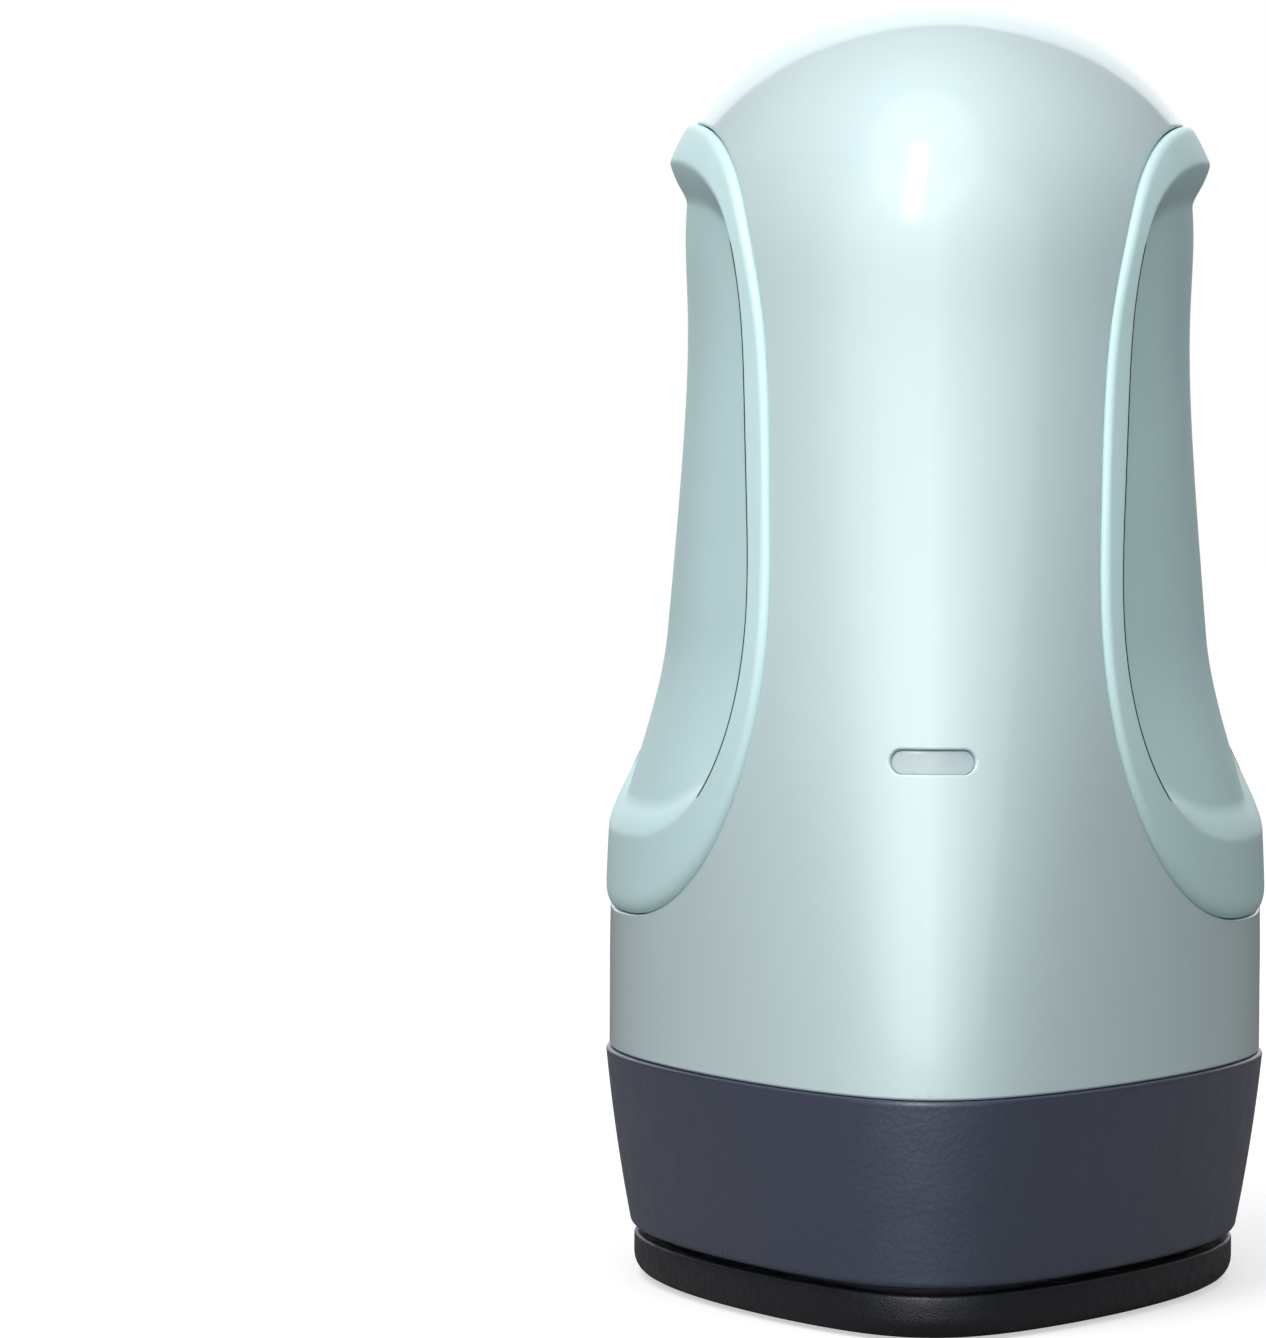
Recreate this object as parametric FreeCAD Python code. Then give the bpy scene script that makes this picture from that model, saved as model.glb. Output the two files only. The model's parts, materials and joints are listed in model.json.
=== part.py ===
import FreeCAD
import Part
import math
import os

# A mini handheld heat press on its insulated stand.
#
# A heated aluminium plate hangs in a dark heat-proof collar. On the collar stands a tall hollow
# housing in a front and a rear half, with a scooped grip let into each side. The press lifts off
# the stand, and the power button on its back is pushed in.
#
# Millimetres, +Z up, nose towards -Y. The origin is on the floor, below the middle of the collar.

V = FreeCAD.Vector
X_AXIS = V(1, 0, 0)
Y_AXIS = V(0, 1, 0)
Z_AXIS = V(0, 0, 1)
FAR = 120.0  # reach of a tool that has to pass right through the part
HEEL = math.pi  # where the ends of an outline meet, as an angle round it
NOSE = 0.0

# ---------------------------------------------------------------- plan shape
# An outline runs from nose (s = 0) to heel (s = 1). Its half-width is that of an ellipse times
# nose + heel * s - HEEL_ROUNDING * s^4, scaled so that its greatest value is the stated width.
NOSE_LOW = 0.55  # share of the ellipse's width at the nose, on the collar and everything below
HEEL_LOW = 0.80  # what is gained from nose to heel there
NOSE_HIGH = 0.80  # the same two on the dome, which is rounder
HEEL_HIGH = 0.38
HEEL_ROUNDING = 0.12
OUTLINE_POINTS = 32

# ---------------------------------------------------------------- stand
FOOT_PROUD = 0.35  # feet reach this far below the tray
FOOT_POCKET = 0.5
FOOT_RADIUS = 3.5
FOOT_X = 17.0
FOOT_REAR_Y = 26.0
FOOT_FRONT_X = 9.0
FOOT_FRONT_Y = -27.0
TRAY_HALF_WIDTH = 29.5
TRAY_HALF_LENGTH = 47.0
TRAY_HEIGHT = 4.0
TRAY_WALL = 1.6
TRAY_FLOOR = 2.35
TRAY_EDGE = 0.9  # rounding under the tray's rim
LINER_THICKNESS = 1.0
LINER_GROOVE = 0.4
LINER_GROOVE_WIDTH = 1.4
LINER_GROOVES = 7
LINER_GROOVE_PITCH = 9.0
FIT = 0.3  # loose gap round a piece that drops into a pocket
HAIR = 0.05  # gap of a close fit

# ---------------------------------------------------------------- hot end
PLATE_LENGTH = 83.0
PLATE_WIDTH = 49.0
PLATE_THICKNESS = 5.0
PLATE_EDGE = 0.8
ELEMENT_RADIUS = 3.0
ELEMENT_BEND = 13.0  # half the distance between its two legs
ELEMENT_BEND_Y = -8.0
ELEMENT_END_Y = 19.0
CERAMIC_LENGTH = 3.5
TAB_LENGTH = 5.5
TAB_WIDTH = 4.8
TAB_THICKNESS = 0.8
PROBE_RADIUS = 1.5
PROBE_LENGTH = 12.0
PROBE_X = 5.0  # the sensor lies to one side of the middle, the thermal fuse to the other
CLIP_WIDTH = 4.0
CLIP_THICKNESS = 0.5
CLIP_FLANGE = 3.2
PLATE_SCREW_NOSE_Y = -31.0
PLATE_SCREW_X = 20.5
PLATE_SCREW_Y = 14.0
PLATE_SCREW_DEPTH = 3.5
BUSHING_RADIUS = 2.6

# ---------------------------------------------------------------- collar
LIFT_GAP = 0.65  # dark gap between the tray's rim and the collar
COLLAR_HALF_WIDTH = 32.45
COLLAR_HALF_LENGTH = 50.0
COLLAR_HEIGHT = 17.5
COLLAR_TAPER = 0.10  # inward per millimetre of depth
COLLAR_BULGE = 0.003  # and per square millimetre
COLLAR_EDGE = 0.8
COLLAR_WALL = 2.4
COLLAR_STEP_WALL = 3.7  # thicker below the step that carries the shield and the deck
BUSHING_HEIGHT = 4.3  # from the plate to the ledge
LEDGE_THICKNESS = 2.0
LEDGE_HOLE_HALF_WIDTH = 17.0
LEDGE_HOLE_HALF_LENGTH = 33.0
LEDGE_HOLE_Y = 5.0
STEP_RISE = 2.9  # from the ledge's top to the step
SHIELD_THICKNESS = 0.6
DECK_THICKNESS = 2.0
PAD_THICKNESS = 3.0
LEAD_SLOT_HALF_WIDTH = 16.0
LEAD_SLOT_Y = 26.0
LEAD_SLOT_WIDTH = 6.5
SEAL_GAP = 0.3
SEAL_INSET = 0.9

# ---------------------------------------------------------------- housing
COLLAR_STANDS_PROUD = 0.35  # the collar's top edge stands this far outside the housing
SKIRT_HEIGHT = 8.2  # height of the upright skirt, before the sides draw in
BARREL_HEIGHT = 77.2  # from the housing's lower edge to where the dome springs
DOME_RISE = 25.0
DOME_FULLNESS = 0.15  # how much wider than an ellipse the dome is at its very top, as a share
DOME_HALF_WIDTH = 28.0
DOME_HALF_LENGTH = 38.0
SHELL_WALL = 2.2
SPLIT_Y = 12.0
SPLIT_GAP = 0.08
TONGUE_LENGTH = 2.5
TONGUE_THICKNESS = 1.0
DOME_STEPS = (14, 28, 41, 53, 64, 73, 80, 85, 88)  # degrees above the spring line
BARREL_SECTIONS = 9

# ---------------------------------------------------------------- grips
RIM_FRONT_MARGIN = 7.0  # from the dome's foremost point back to the grip's edge
RIM_REAR_MARGIN = 3.0
RIM_ABOVE_SPRING = 13.2
RIM_ABOVE_SKIRT = 13.0
RIM_POWER = 2.7  # squareness of the edge's oval
RIM_LEAN = 0.03
RIM_POINTS = 36
RIM_GAP = 0.15
GRIP_PROUD = 0.5
FLANGE_SIDE = 5.0
FLANGE_END = 7.6
SCOOP_DEPTH = 3.8
SCOOP_RAMP = 26.0  # the scoop runs out to nothing over this height, at its lower end
SCOOP_RUNOUT = 5.4  # and ends this far below the mouth
SCOOP_FADE = 1.3  # what the scoop loses of its depth towards the mouth's upper end
SCOOP_FADE_HEIGHT = 25.0
SCOOP_FADE_MOST = 2.4
GRIP_WALL = 2.0
LIP_THICKNESS = 1.3
LIP_WIDTH = 2.0
LIP_KEEP_OUT = 12.5
GRIP_INNER_X = 11.5

# ---------------------------------------------------------------- screws
SCREW_RADIUS = 1.45
SCREW_HOLE = 1.5
SCREW_HEAD_RADIUS = 2.5
SCREW_HEAD_HEIGHT = 1.9
DRIVE_RADIUS = 1.1
DRIVE_DEPTH = 1.0
BOSS_RADIUS = 2.8
BOSS_RISE = 9.0  # above the housing's lower edge
SHELL_SCREW_BITE = 11.0
NOSE_BOSS_Y = -38.5
SIDE_BOSS_X = 21.0
SIDE_BOSS_Y = -4.0
REAR_BOSS_X = 14.0
REAR_BOSS_Y = 34.0
RIB = 1.6
TOP_SCREW_ABOVE_SPRING = 11.2
TOP_SCREW_WELL_RADIUS = 4.0
TOP_SCREW_WELL_FLOOR = 2.0
TOP_BOSS_END_Y = 24.5
TOP_BOSS_START_Y = 4.0
TOP_SCREW_BITE = 14.0

# ---------------------------------------------------------------- indicator
LENS_ABOVE_SKIRT = 30.6
LENS_WIDTH = 8.1
LENS_HEIGHT = 2.3
LENS_RECESS = 0.4
LENS_FLANGE = 1.2
LENS_FLANGE_THICKNESS = 1.0
LENS_STUB_RADIUS = 1.8
LENS_STUB_LENGTH = 3.6  # from the housing's outer face
LED_GAP = 0.4
LED_LENGTH = 3.1
LED_RADIUS = 1.5
SMALL_BOARD_THICKNESS = 1.0
SMALL_BOARD_WIDTH = 11.0
SMALL_BOARD_BOSS_PITCH = 14.0
SMALL_BOARD_BOSS_RADIUS = 1.7
SMALL_SCREW_RADIUS = 0.75
SMALL_SCREW_HEAD = 1.5

# ---------------------------------------------------------------- back of the housing
PAD_PROUD = 0.3  # a round flat pad stands this far outside the housing at its lower edge
PAD_DEPTH = 6.0
BUTTON_ABOVE_SKIRT = 52.2
BUTTON_PAD_RADIUS = 8.0
BUTTON_RADIUS = 5.4
BUTTON_CLEARANCE = 0.2
BUTTON_PROUD = 1.2
BUTTON_TRAVEL = 0.8
BUTTON_FLANGE = 1.2
BUTTON_FLANGE_THICKNESS = 1.4
BUTTON_STEM_RADIUS = 1.8
BUTTON_DISH = 0.35
BUTTON_DISH_RADIUS = 3.6
GLAND_BELOW_SPRING = 4.0
GLAND_PAD_RADIUS = 8.5
GLAND_RADIUS = 6.0
GLAND_BORE_RADIUS = 3.4
GLAND_FLANGE_RADIUS = 7.4
GLAND_FLANGE_THICKNESS = 1.6
GLAND_SNAP = 0.8
GLAND_SNAP_THICKNESS = 1.4
CLAMP_BELOW_GLAND = 8.5
CLAMP_BOSS_X = 6.5
CLAMP_BOSS_RADIUS = 2.2
CLAMP_FACE_Y = 27.0
CLAMP_THICKNESS = 3.4
CLAMP_HEIGHT = 5.0
CLAMP_NOTCH_RADIUS = 2.4
CLAMP_RIB_GAP = 2.4
CLAMP_SCREW_RADIUS = 1.1
CLAMP_SCREW_BITE = 6.0

# ---------------------------------------------------------------- electronics
FRAME_Y = 12.0  # front face of the upright board frame
FRAME_THICKNESS = 2.0
FRAME_HALF_WIDTH = 17.0
FRAME_HEIGHT = 66.0  # above the deck
FRAME_FOOT = 12.0
FRAME_SCREW_X = 11.0
STANDOFF_HEIGHT = 4.0
STANDOFF_RADIUS = 2.4
BOARD_THICKNESS = 1.6
BOARD_HALF_WIDTH = 16.0
BOARD_BOTTOM_ABOVE_DECK = 16.0
BOARD_HEIGHT = 48.0
BOARD_HOLE_INSET = 3.2
BOARD_SCREW_RADIUS = 1.1
BOARD_SCREW_BITE = 5.0
SWITCH_SIZE = 6.2
SWITCH_BODY = 3.5
SWITCH_ACTUATOR = 1.0
SWITCH_ACTUATOR_RADIUS = 1.7
SWITCH_GAP = 0.1
RELAY_X = 7.5  # from here on, z counts from the board's lower edge
RELAY_Z = 23.0
RELAY_WIDTH = 11.0
RELAY_HEIGHT = 14.0
RELAY_DEPTH = 8.5
COMPONENT_EDGE = 0.5
CAPACITOR_X = 8.5
CAPACITOR_Z = 13.0
CAPACITOR_RADIUS = 4.0
FILM_Z = 25.0
FILM_WIDTH = 12.0
FILM_HEIGHT = 5.5
FILM_DEPTH = 8.0
CHIP_Z = 9.0
CHIP_SIZE = 6.0
CHIP_THICKNESS = 1.2
TERMINAL_X = 9.6
TERMINAL_Z = 33.5
TERMINAL_WIDTH = 9.0
TERMINAL_HEIGHT = 7.5
TERMINAL_DEPTH = 7.0
TERMINAL_MOUTH = 1.4
FUSE_X = 9.5
FUSE_Z = 32.0
FUSE_LENGTH = 9.0
FUSE_RADIUS = 2.4
CLIP_INSET = 1.4
FUSE_CLIP_WIDTH = 1.2
CONNECTOR_Z = 3.0
CONNECTOR_WIDTH = 18.0
CONNECTOR_HEIGHT = 3.4
CONNECTOR_DEPTH = 4.5
LEAD_RADIUS = 1.0
SENSOR_LEAD_RADIUS = 0.8
HEATER_LEAD_X = 6.5
HEATER_LEAD_RISE = 4.0  # how far the leads come straight up above the deck
SENSOR_LEAD_X = 2.2
SENSOR_LEAD_RISE = 4.0
LEAD_LAST_RUN = 7.0
INDICATOR_LEAD_X = 2.0
INDICATOR_LEAD_SAG = 3.0
INDICATOR_LEAD_ABOVE_DECK = 28.0


# ================================================================ derived places
TRAY_Z = FOOT_PROUD
TRAY_TOP_Z = TRAY_Z + TRAY_HEIGHT
LINER_Z = TRAY_Z + TRAY_FLOOR
LINER_TOP_Z = LINER_Z + LINER_THICKNESS
PLATE_Z = LINER_TOP_Z + HAIR
PLATE_TOP_Z = PLATE_Z + PLATE_THICKNESS
LEDGE_Z = PLATE_TOP_Z + BUSHING_HEIGHT
LEDGE_TOP_Z = LEDGE_Z + LEDGE_THICKNESS
STEP_Z = LEDGE_TOP_Z + STEP_RISE
DECK_Z = STEP_Z + SHIELD_THICKNESS
DECK_TOP_Z = DECK_Z + DECK_THICKNESS
COLLAR_Z = TRAY_TOP_Z + LIFT_GAP
COLLAR_TOP_Z = COLLAR_Z + COLLAR_HEIGHT
SHELL_Z = COLLAR_TOP_Z + SEAL_GAP
SKIRT_TOP_Z = SHELL_Z + SKIRT_HEIGHT
SPRING_Z = SHELL_Z + BARREL_HEIGHT
SKIRT_HALF_WIDTH = COLLAR_HALF_WIDTH - COLLAR_STANDS_PROUD
SKIRT_HALF_LENGTH = COLLAR_HALF_LENGTH - COLLAR_STANDS_PROUD
LIP_OUTSIDE = -(SHELL_WALL + 2 * HAIR)
LIP_INSIDE = LIP_OUTSIDE - LIP_THICKNESS
RIM_LOW_Z = SHELL_Z + RIM_ABOVE_SKIRT
RIM_HIGH_Z = SPRING_Z + RIM_ABOVE_SPRING
RIM_MIDDLE_Z = (RIM_LOW_Z + RIM_HIGH_Z) / 2
RIM_HALF_HEIGHT = (RIM_HIGH_Z - RIM_LOW_Z) / 2
RIM_FRONT_Y = RIM_FRONT_MARGIN - DOME_HALF_LENGTH
RIM_REAR_Y = DOME_HALF_LENGTH - RIM_REAR_MARGIN
RIM_MIDDLE_Y = (RIM_FRONT_Y + RIM_REAR_Y) / 2
RIM_HALF_LENGTH = (RIM_REAR_Y - RIM_FRONT_Y) / 2
SCOOP_START_Z = RIM_LOW_Z + FLANGE_END - SCOOP_RUNOUT
SCOOP_FADE_Z = RIM_HIGH_Z - FLANGE_END - SCOOP_FADE_HEIGHT
LENS_Z = SHELL_Z + LENS_ABOVE_SKIRT
BUTTON_Z = SHELL_Z + BUTTON_ABOVE_SKIRT
GLAND_Z = SPRING_Z - GLAND_BELOW_SPRING
CLAMP_Z = GLAND_Z - CLAMP_BELOW_GLAND
TOP_SCREW_Z = SPRING_Z + TOP_SCREW_ABOVE_SPRING
STANDOFF_Y = FRAME_Y + FRAME_THICKNESS
BOARD_Y = STANDOFF_Y + STANDOFF_HEIGHT
BOARD_FACE_Y = BOARD_Y + BOARD_THICKNESS
BOARD_Z = DECK_TOP_Z + BOARD_BOTTOM_ABOVE_DECK
BOARD_TOP_Z = BOARD_Z + BOARD_HEIGHT
INDICATOR_LEAD_END_Z = DECK_TOP_Z + INDICATOR_LEAD_ABOVE_DECK
PLATE_SCREWS = [(0.0, PLATE_SCREW_NOSE_Y), (PLATE_SCREW_X, PLATE_SCREW_Y), (-PLATE_SCREW_X, PLATE_SCREW_Y)]
FRONT_BOSSES = [(0.0, NOSE_BOSS_Y), (SIDE_BOSS_X, SIDE_BOSS_Y), (-SIDE_BOSS_X, SIDE_BOSS_Y)]
REAR_BOSSES = [(REAR_BOSS_X, REAR_BOSS_Y), (-REAR_BOSS_X, REAR_BOSS_Y)]


# ================================================================ shape functions
def ease(share):
    """0 to 1 with level ends."""
    share = min(1.0, max(0.0, share))
    return share * share * (3 - 2 * share)


def high_share(z):
    """How far the plan has changed from the collar's pointed shape to the dome's round one."""
    return ease((z - COLLAR_TOP_Z) / (SPRING_Z - COLLAR_TOP_Z))


def plan_value(s, z):
    nose = NOSE_LOW + (NOSE_HIGH - NOSE_LOW) * high_share(z)
    heel = HEEL_LOW + (HEEL_HIGH - HEEL_LOW) * high_share(z)
    return 2 * math.sqrt(max(0.0, s * (1 - s))) * (nose + heel * s - HEEL_ROUNDING * s**4)


def outline(z, half_width, half_length, middle_y=0.0, shape_z=None, seam=HEEL):
    """Closed plan outline at height z. Its ends meet at the seam, the heel or the nose."""
    shape_z = z if shape_z is None else shape_z
    widest = max(plan_value(i / 200, shape_z) for i in range(201))
    points = []
    for i in range(OUTLINE_POINTS):
        angle = seam + 2 * math.pi * i / OUTLINE_POINTS
        s = (1 - math.cos(angle)) / 2
        x = math.copysign(half_width * plan_value(s, shape_z) / widest, math.sin(angle))
        points.append(V(x, middle_y - half_length * math.cos(angle), z))
    curve = Part.BSplineCurve()
    curve.interpolate(Points=points, PeriodicFlag=True)
    return Part.Wire([curve.toShape()])


def slab(z, height, half_width, half_length, middle_y=0.0):
    """Upright block on the collar's plan shape."""
    face = Part.Face(outline(z, half_width, half_length, middle_y, COLLAR_TOP_Z))
    return face.extrude(V(0, 0, height))


def scoop_depth(z):
    fade = SCOOP_FADE * max(0.0, (z - SCOOP_FADE_Z) / SCOOP_FADE_HEIGHT) ** 3
    return SCOOP_DEPTH * ease((z - SCOOP_START_Z) / SCOOP_RAMP) - min(fade, SCOOP_FADE_MOST)


def housing_size(z, offset):
    """Half-width and half-length of the housing at height z, moved outwards by offset."""
    if z >= SPRING_Z:
        share = (z - SPRING_Z) / (DOME_RISE + offset)
        shrink = math.sqrt(max(0.0, 1 - share**2)) * (1 + DOME_FULLNESS * share**6)
        return (DOME_HALF_WIDTH + offset) * shrink, (DOME_HALF_LENGTH + offset) * shrink
    wide = ease((SPRING_Z - z) / (SPRING_Z - SKIRT_TOP_Z))
    long = ease((SPRING_Z - z) / (SPRING_Z - SHELL_Z))
    return (
        DOME_HALF_WIDTH + (SKIRT_HALF_WIDTH - DOME_HALF_WIDTH) * wide + offset,
        DOME_HALF_LENGTH + (SKIRT_HALF_LENGTH - DOME_HALF_LENGTH) * long + offset,
    )


def housing(offset, low_z=None, scooped=False, seam=HEEL):
    """Solid of the housing's outer form, moved outwards by offset, or inwards if it is negative."""
    low_z = SHELL_Z if low_z is None else low_z
    rise = DOME_RISE + offset - (SCOOP_DEPTH if scooped else 0.0)
    heights = [low_z + (SPRING_Z - low_z) * i / BARREL_SECTIONS for i in range(BARREL_SECTIONS + 1)]
    heights += [SPRING_Z + rise * math.sin(math.radians(step)) for step in DOME_STEPS]
    wires = []
    for z in heights:
        here = offset - (scoop_depth(z) if scooped else 0.0)
        wires.append(outline(z, *housing_size(z, here), seam=seam))
    return Part.makeLoft(wires, True, False)


def collar_inset(z):
    depth = max(0.0, COLLAR_TOP_Z - z)
    return COLLAR_TAPER * depth + COLLAR_BULGE * depth * depth


def collar_form(wall, low_z, high_z):
    """Solid inside the collar's tapered side, wall inwards from it."""
    sections = 6
    wires = []
    for i in range(sections + 1):
        z = low_z + (high_z - low_z) * i / sections
        inset = collar_inset(z) + wall
        wires.append(outline(z, COLLAR_HALF_WIDTH - inset, COLLAR_HALF_LENGTH - inset, 0.0, COLLAR_TOP_Z))
    return Part.makeLoft(wires, True, False)


def oval(grow_side, grow_end, x):
    """The grip's edge as a face in the plane at x, grown sideways and at its ends."""
    half_length = RIM_HALF_LENGTH + grow_side
    half_height = RIM_HALF_HEIGHT + grow_end
    points = []
    for i in range(RIM_POINTS):
        angle = 2 * math.pi * i / RIM_POINTS
        across = math.copysign(abs(math.cos(angle)) ** (2 / RIM_POWER), math.cos(angle))
        up = math.copysign(abs(math.sin(angle)) ** (2 / RIM_POWER), math.sin(angle))
        lean = RIM_LEAN * half_height * up
        points.append(V(x, RIM_MIDDLE_Y + half_length * across + lean, RIM_MIDDLE_Z + half_height * up))
    curve = Part.BSplineCurve()
    curve.interpolate(Points=points, PeriodicFlag=True)
    return Part.Face(Part.Wire([curve.toShape()]))


def side_prism(grow_side, grow_end, inner_x=GRIP_INNER_X):
    """Block on the +X side that runs out along X from the grip's oval."""
    return oval(grow_side, grow_end, inner_x).extrude(V(FAR, 0, 0))


def mirrored(shape):
    return shape.mirror(V(0, 0, 0), X_AXIS)


def rod(radius, start, end):
    """Round bar from one point to another."""
    way = end - start
    return Part.makeCylinder(radius, way.Length, start, way)


def block(low, high):
    """Box between two corners."""
    return Part.makeBox(high[0] - low[0], high[1] - low[1], high[2] - low[2], V(*low))


def joined(shapes):
    """One shape from several that touch or overlap."""
    return shapes[0].fuse(shapes[1:]).removeSplitter()


def group(shapes):
    return Part.makeCompound(shapes)


def half_space(front):
    """Everything in front of the housing's split, or everything behind it."""
    if front:
        return block((-FAR, -FAR, -FAR), (FAR, SPLIT_Y - SPLIT_GAP / 2, 2 * FAR))
    return block((-FAR, SPLIT_Y + SPLIT_GAP / 2, -FAR), (FAR, FAR, 2 * FAR))


def screw(head_at, way, bite, radius=SCREW_RADIUS, head_radius=SCREW_HEAD_RADIUS, head=SCREW_HEAD_HEIGHT):
    """Pan-head screw. head_at is the middle of the head's underside, and the shank runs along way."""
    shank = rod(radius, head_at, head_at + way * bite)
    cap = rod(head_radius, head_at - way * head, head_at)
    cap = cap.makeFillet(head * 0.4, [cap.Edges[0] if is_end(cap.Edges[0], head_at - way * head) else cap.Edges[2]])
    drive = head_at - way * head
    slots = []
    for turn in (0, 90):
        cross = block((-DRIVE_RADIUS, -0.3, 0), (DRIVE_RADIUS, 0.3, min(DRIVE_DEPTH, 0.6 * head)))
        cross.rotate(V(0, 0, 0), Z_AXIS, turn)
        cross.Placement = FreeCAD.Placement(drive, FreeCAD.Rotation(Z_AXIS, way)).multiply(cross.Placement)
        slots.append(cross)
    return joined([cap, shank]).cut(slots)


def is_end(edge, point):
    """True if the round edge lies around the point."""
    return edge.Curve.TypeId == "Part::GeomCircle" and (edge.Curve.Center - point).Length < 1e-6


def cable(points, radius):
    """Round lead along straight runs joined by tangent arcs, each as large as its two runs allow."""
    runs = [(points[i + 1] - points[i]).Length for i in range(len(points) - 1)]
    edges = []
    bends = []
    start = points[0]
    for i in range(1, len(points) - 1):
        before = (points[i] - points[i - 1]).normalize()
        after = (points[i + 1] - points[i]).normalize()
        turn = before.getAngle(after)
        trim = 0.45 * min(runs[i - 1], runs[i])
        arc_radius = trim / math.tan(turn / 2)
        arc_start = points[i] - before * trim
        arc_end = points[i] + after * trim
        inward = (after - before).normalize()
        middle = points[i] + inward * (arc_radius / math.cos(turn / 2) - arc_radius)
        edges.append(Part.LineSegment(start, arc_start).toShape())
        edges.append(Part.Arc(arc_start, middle, arc_end).toShape())
        bends.append(round(arc_radius, 1))
        start = arc_end
    edges.append(Part.LineSegment(start, points[-1]).toShape())
    path = Part.Wire(edges)
    section = Part.Wire([Part.Circle(points[0], points[1] - points[0], radius).toShape()])
    tube = path.makePipeShell([section], True, False, 1)
    expected = math.pi * radius**2 * path.Length
    print("  lead", round(path.Length, 1), "arcs", bends, "volume", round(tube.Volume / expected, 3), "of its path")
    return tube


# ================================================================ stand
def foot_places():
    return [
        (FOOT_X, FOOT_REAR_Y),
        (-FOOT_X, FOOT_REAR_Y),
        (FOOT_FRONT_X, FOOT_FRONT_Y),
        (-FOOT_FRONT_X, FOOT_FRONT_Y),
    ]


def base_tray():
    body = slab(TRAY_Z, TRAY_HEIGHT, TRAY_HALF_WIDTH, TRAY_HALF_LENGTH)
    under = [e for e in body.Edges if abs(e.BoundBox.ZMax - TRAY_Z) < 1e-3]
    body = body.makeFillet(TRAY_EDGE, under)
    body = body.cut(slab(LINER_Z, FAR, TRAY_HALF_WIDTH - TRAY_WALL, TRAY_HALF_LENGTH - TRAY_WALL))
    for x, y in foot_places():
        body = body.cut(rod(FOOT_RADIUS + HAIR, V(x, y, 0), V(x, y, TRAY_Z + FOOT_POCKET)))
    return body


def base_feet():
    return group([rod(FOOT_RADIUS, V(x, y, 0), V(x, y, TRAY_Z + FOOT_POCKET)) for x, y in foot_places()])


def base_liner():
    inset = TRAY_WALL + FIT
    pad = slab(LINER_Z, LINER_THICKNESS, TRAY_HALF_WIDTH - inset, TRAY_HALF_LENGTH - inset)
    for i in range(LINER_GROOVES):
        y = (i - (LINER_GROOVES - 1) / 2) * LINER_GROOVE_PITCH
        low = (-FAR, y - LINER_GROOVE_WIDTH / 2, LINER_TOP_Z - LINER_GROOVE)
        pad = pad.cut(block(low, (FAR, y + LINER_GROOVE_WIDTH / 2, FAR)))
    return pad


# ================================================================ hot end
def element_path(end_y):
    left = V(-ELEMENT_BEND, end_y, PLATE_TOP_Z)
    left_turn = V(-ELEMENT_BEND, ELEMENT_BEND_Y, PLATE_TOP_Z)
    front = V(0, ELEMENT_BEND_Y - ELEMENT_BEND, PLATE_TOP_Z)
    right_turn = V(ELEMENT_BEND, ELEMENT_BEND_Y, PLATE_TOP_Z)
    right = V(ELEMENT_BEND, end_y, PLATE_TOP_Z)
    return Part.Wire(
        [
            Part.LineSegment(left, left_turn).toShape(),
            Part.Arc(left_turn, front, right_turn).toShape(),
            Part.LineSegment(right_turn, right).toShape(),
        ]
    )


def element_tube(radius, end_y):
    start = V(-ELEMENT_BEND, end_y, PLATE_TOP_Z)
    section = Part.Wire([Part.Circle(start, Y_AXIS, radius).toShape()])
    return element_path(end_y).makePipeShell([section], True, False)


def heat_plate():
    plate = slab(PLATE_Z, PLATE_THICKNESS, PLATE_WIDTH / 2, PLATE_LENGTH / 2)
    under = [e for e in plate.Edges if abs(e.BoundBox.ZMax - PLATE_Z) < 1e-3]
    plate = plate.makeFillet(PLATE_EDGE, under)
    plate = plate.cut(element_tube(ELEMENT_RADIUS + HAIR, PLATE_LENGTH))
    for x, y in PLATE_SCREWS:
        hole = rod(SCREW_HOLE, V(x, y, PLATE_TOP_Z - PLATE_SCREW_DEPTH), V(x, y, FAR))
        plate = plate.cut(hole)
    return plate


def heating_element():
    return element_tube(ELEMENT_RADIUS, ELEMENT_END_Y)


def element_ceramics():
    pieces = []
    for side in (-1, 1):
        start = V(side * ELEMENT_BEND, ELEMENT_END_Y, PLATE_TOP_Z)
        end = start + Y_AXIS * CERAMIC_LENGTH
        sleeve = rod(ELEMENT_RADIUS - HAIR, start, end)
        slot = block(
            (start.x - TAB_WIDTH / 2, start.y, start.z - TAB_THICKNESS / 2),
            (start.x + TAB_WIDTH / 2, FAR, start.z + TAB_THICKNESS / 2),
        )
        pieces.append(sleeve.cut(slot))
    return group(pieces)


def element_tabs():
    pieces = []
    for side in (-1, 1):
        x = side * ELEMENT_BEND
        low = (x - TAB_WIDTH / 2, ELEMENT_END_Y, PLATE_TOP_Z - TAB_THICKNESS / 2)
        high = (x + TAB_WIDTH / 2, tab_end_y(), PLATE_TOP_Z + TAB_THICKNESS / 2)
        pieces.append(block(low, high))
    return group(pieces)


def tab_end_y():
    return ELEMENT_END_Y + CERAMIC_LENGTH + TAB_LENGTH


def probe(x):
    middle = V(x, 0, PLATE_TOP_Z + PROBE_RADIUS)
    half = Y_AXIS * (PROBE_LENGTH / 2)
    return rod(PROBE_RADIUS, middle - half, middle + half)


def temperature_sensor():
    return probe(-PROBE_X)


def thermal_fuse():
    return probe(PROBE_X)


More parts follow.
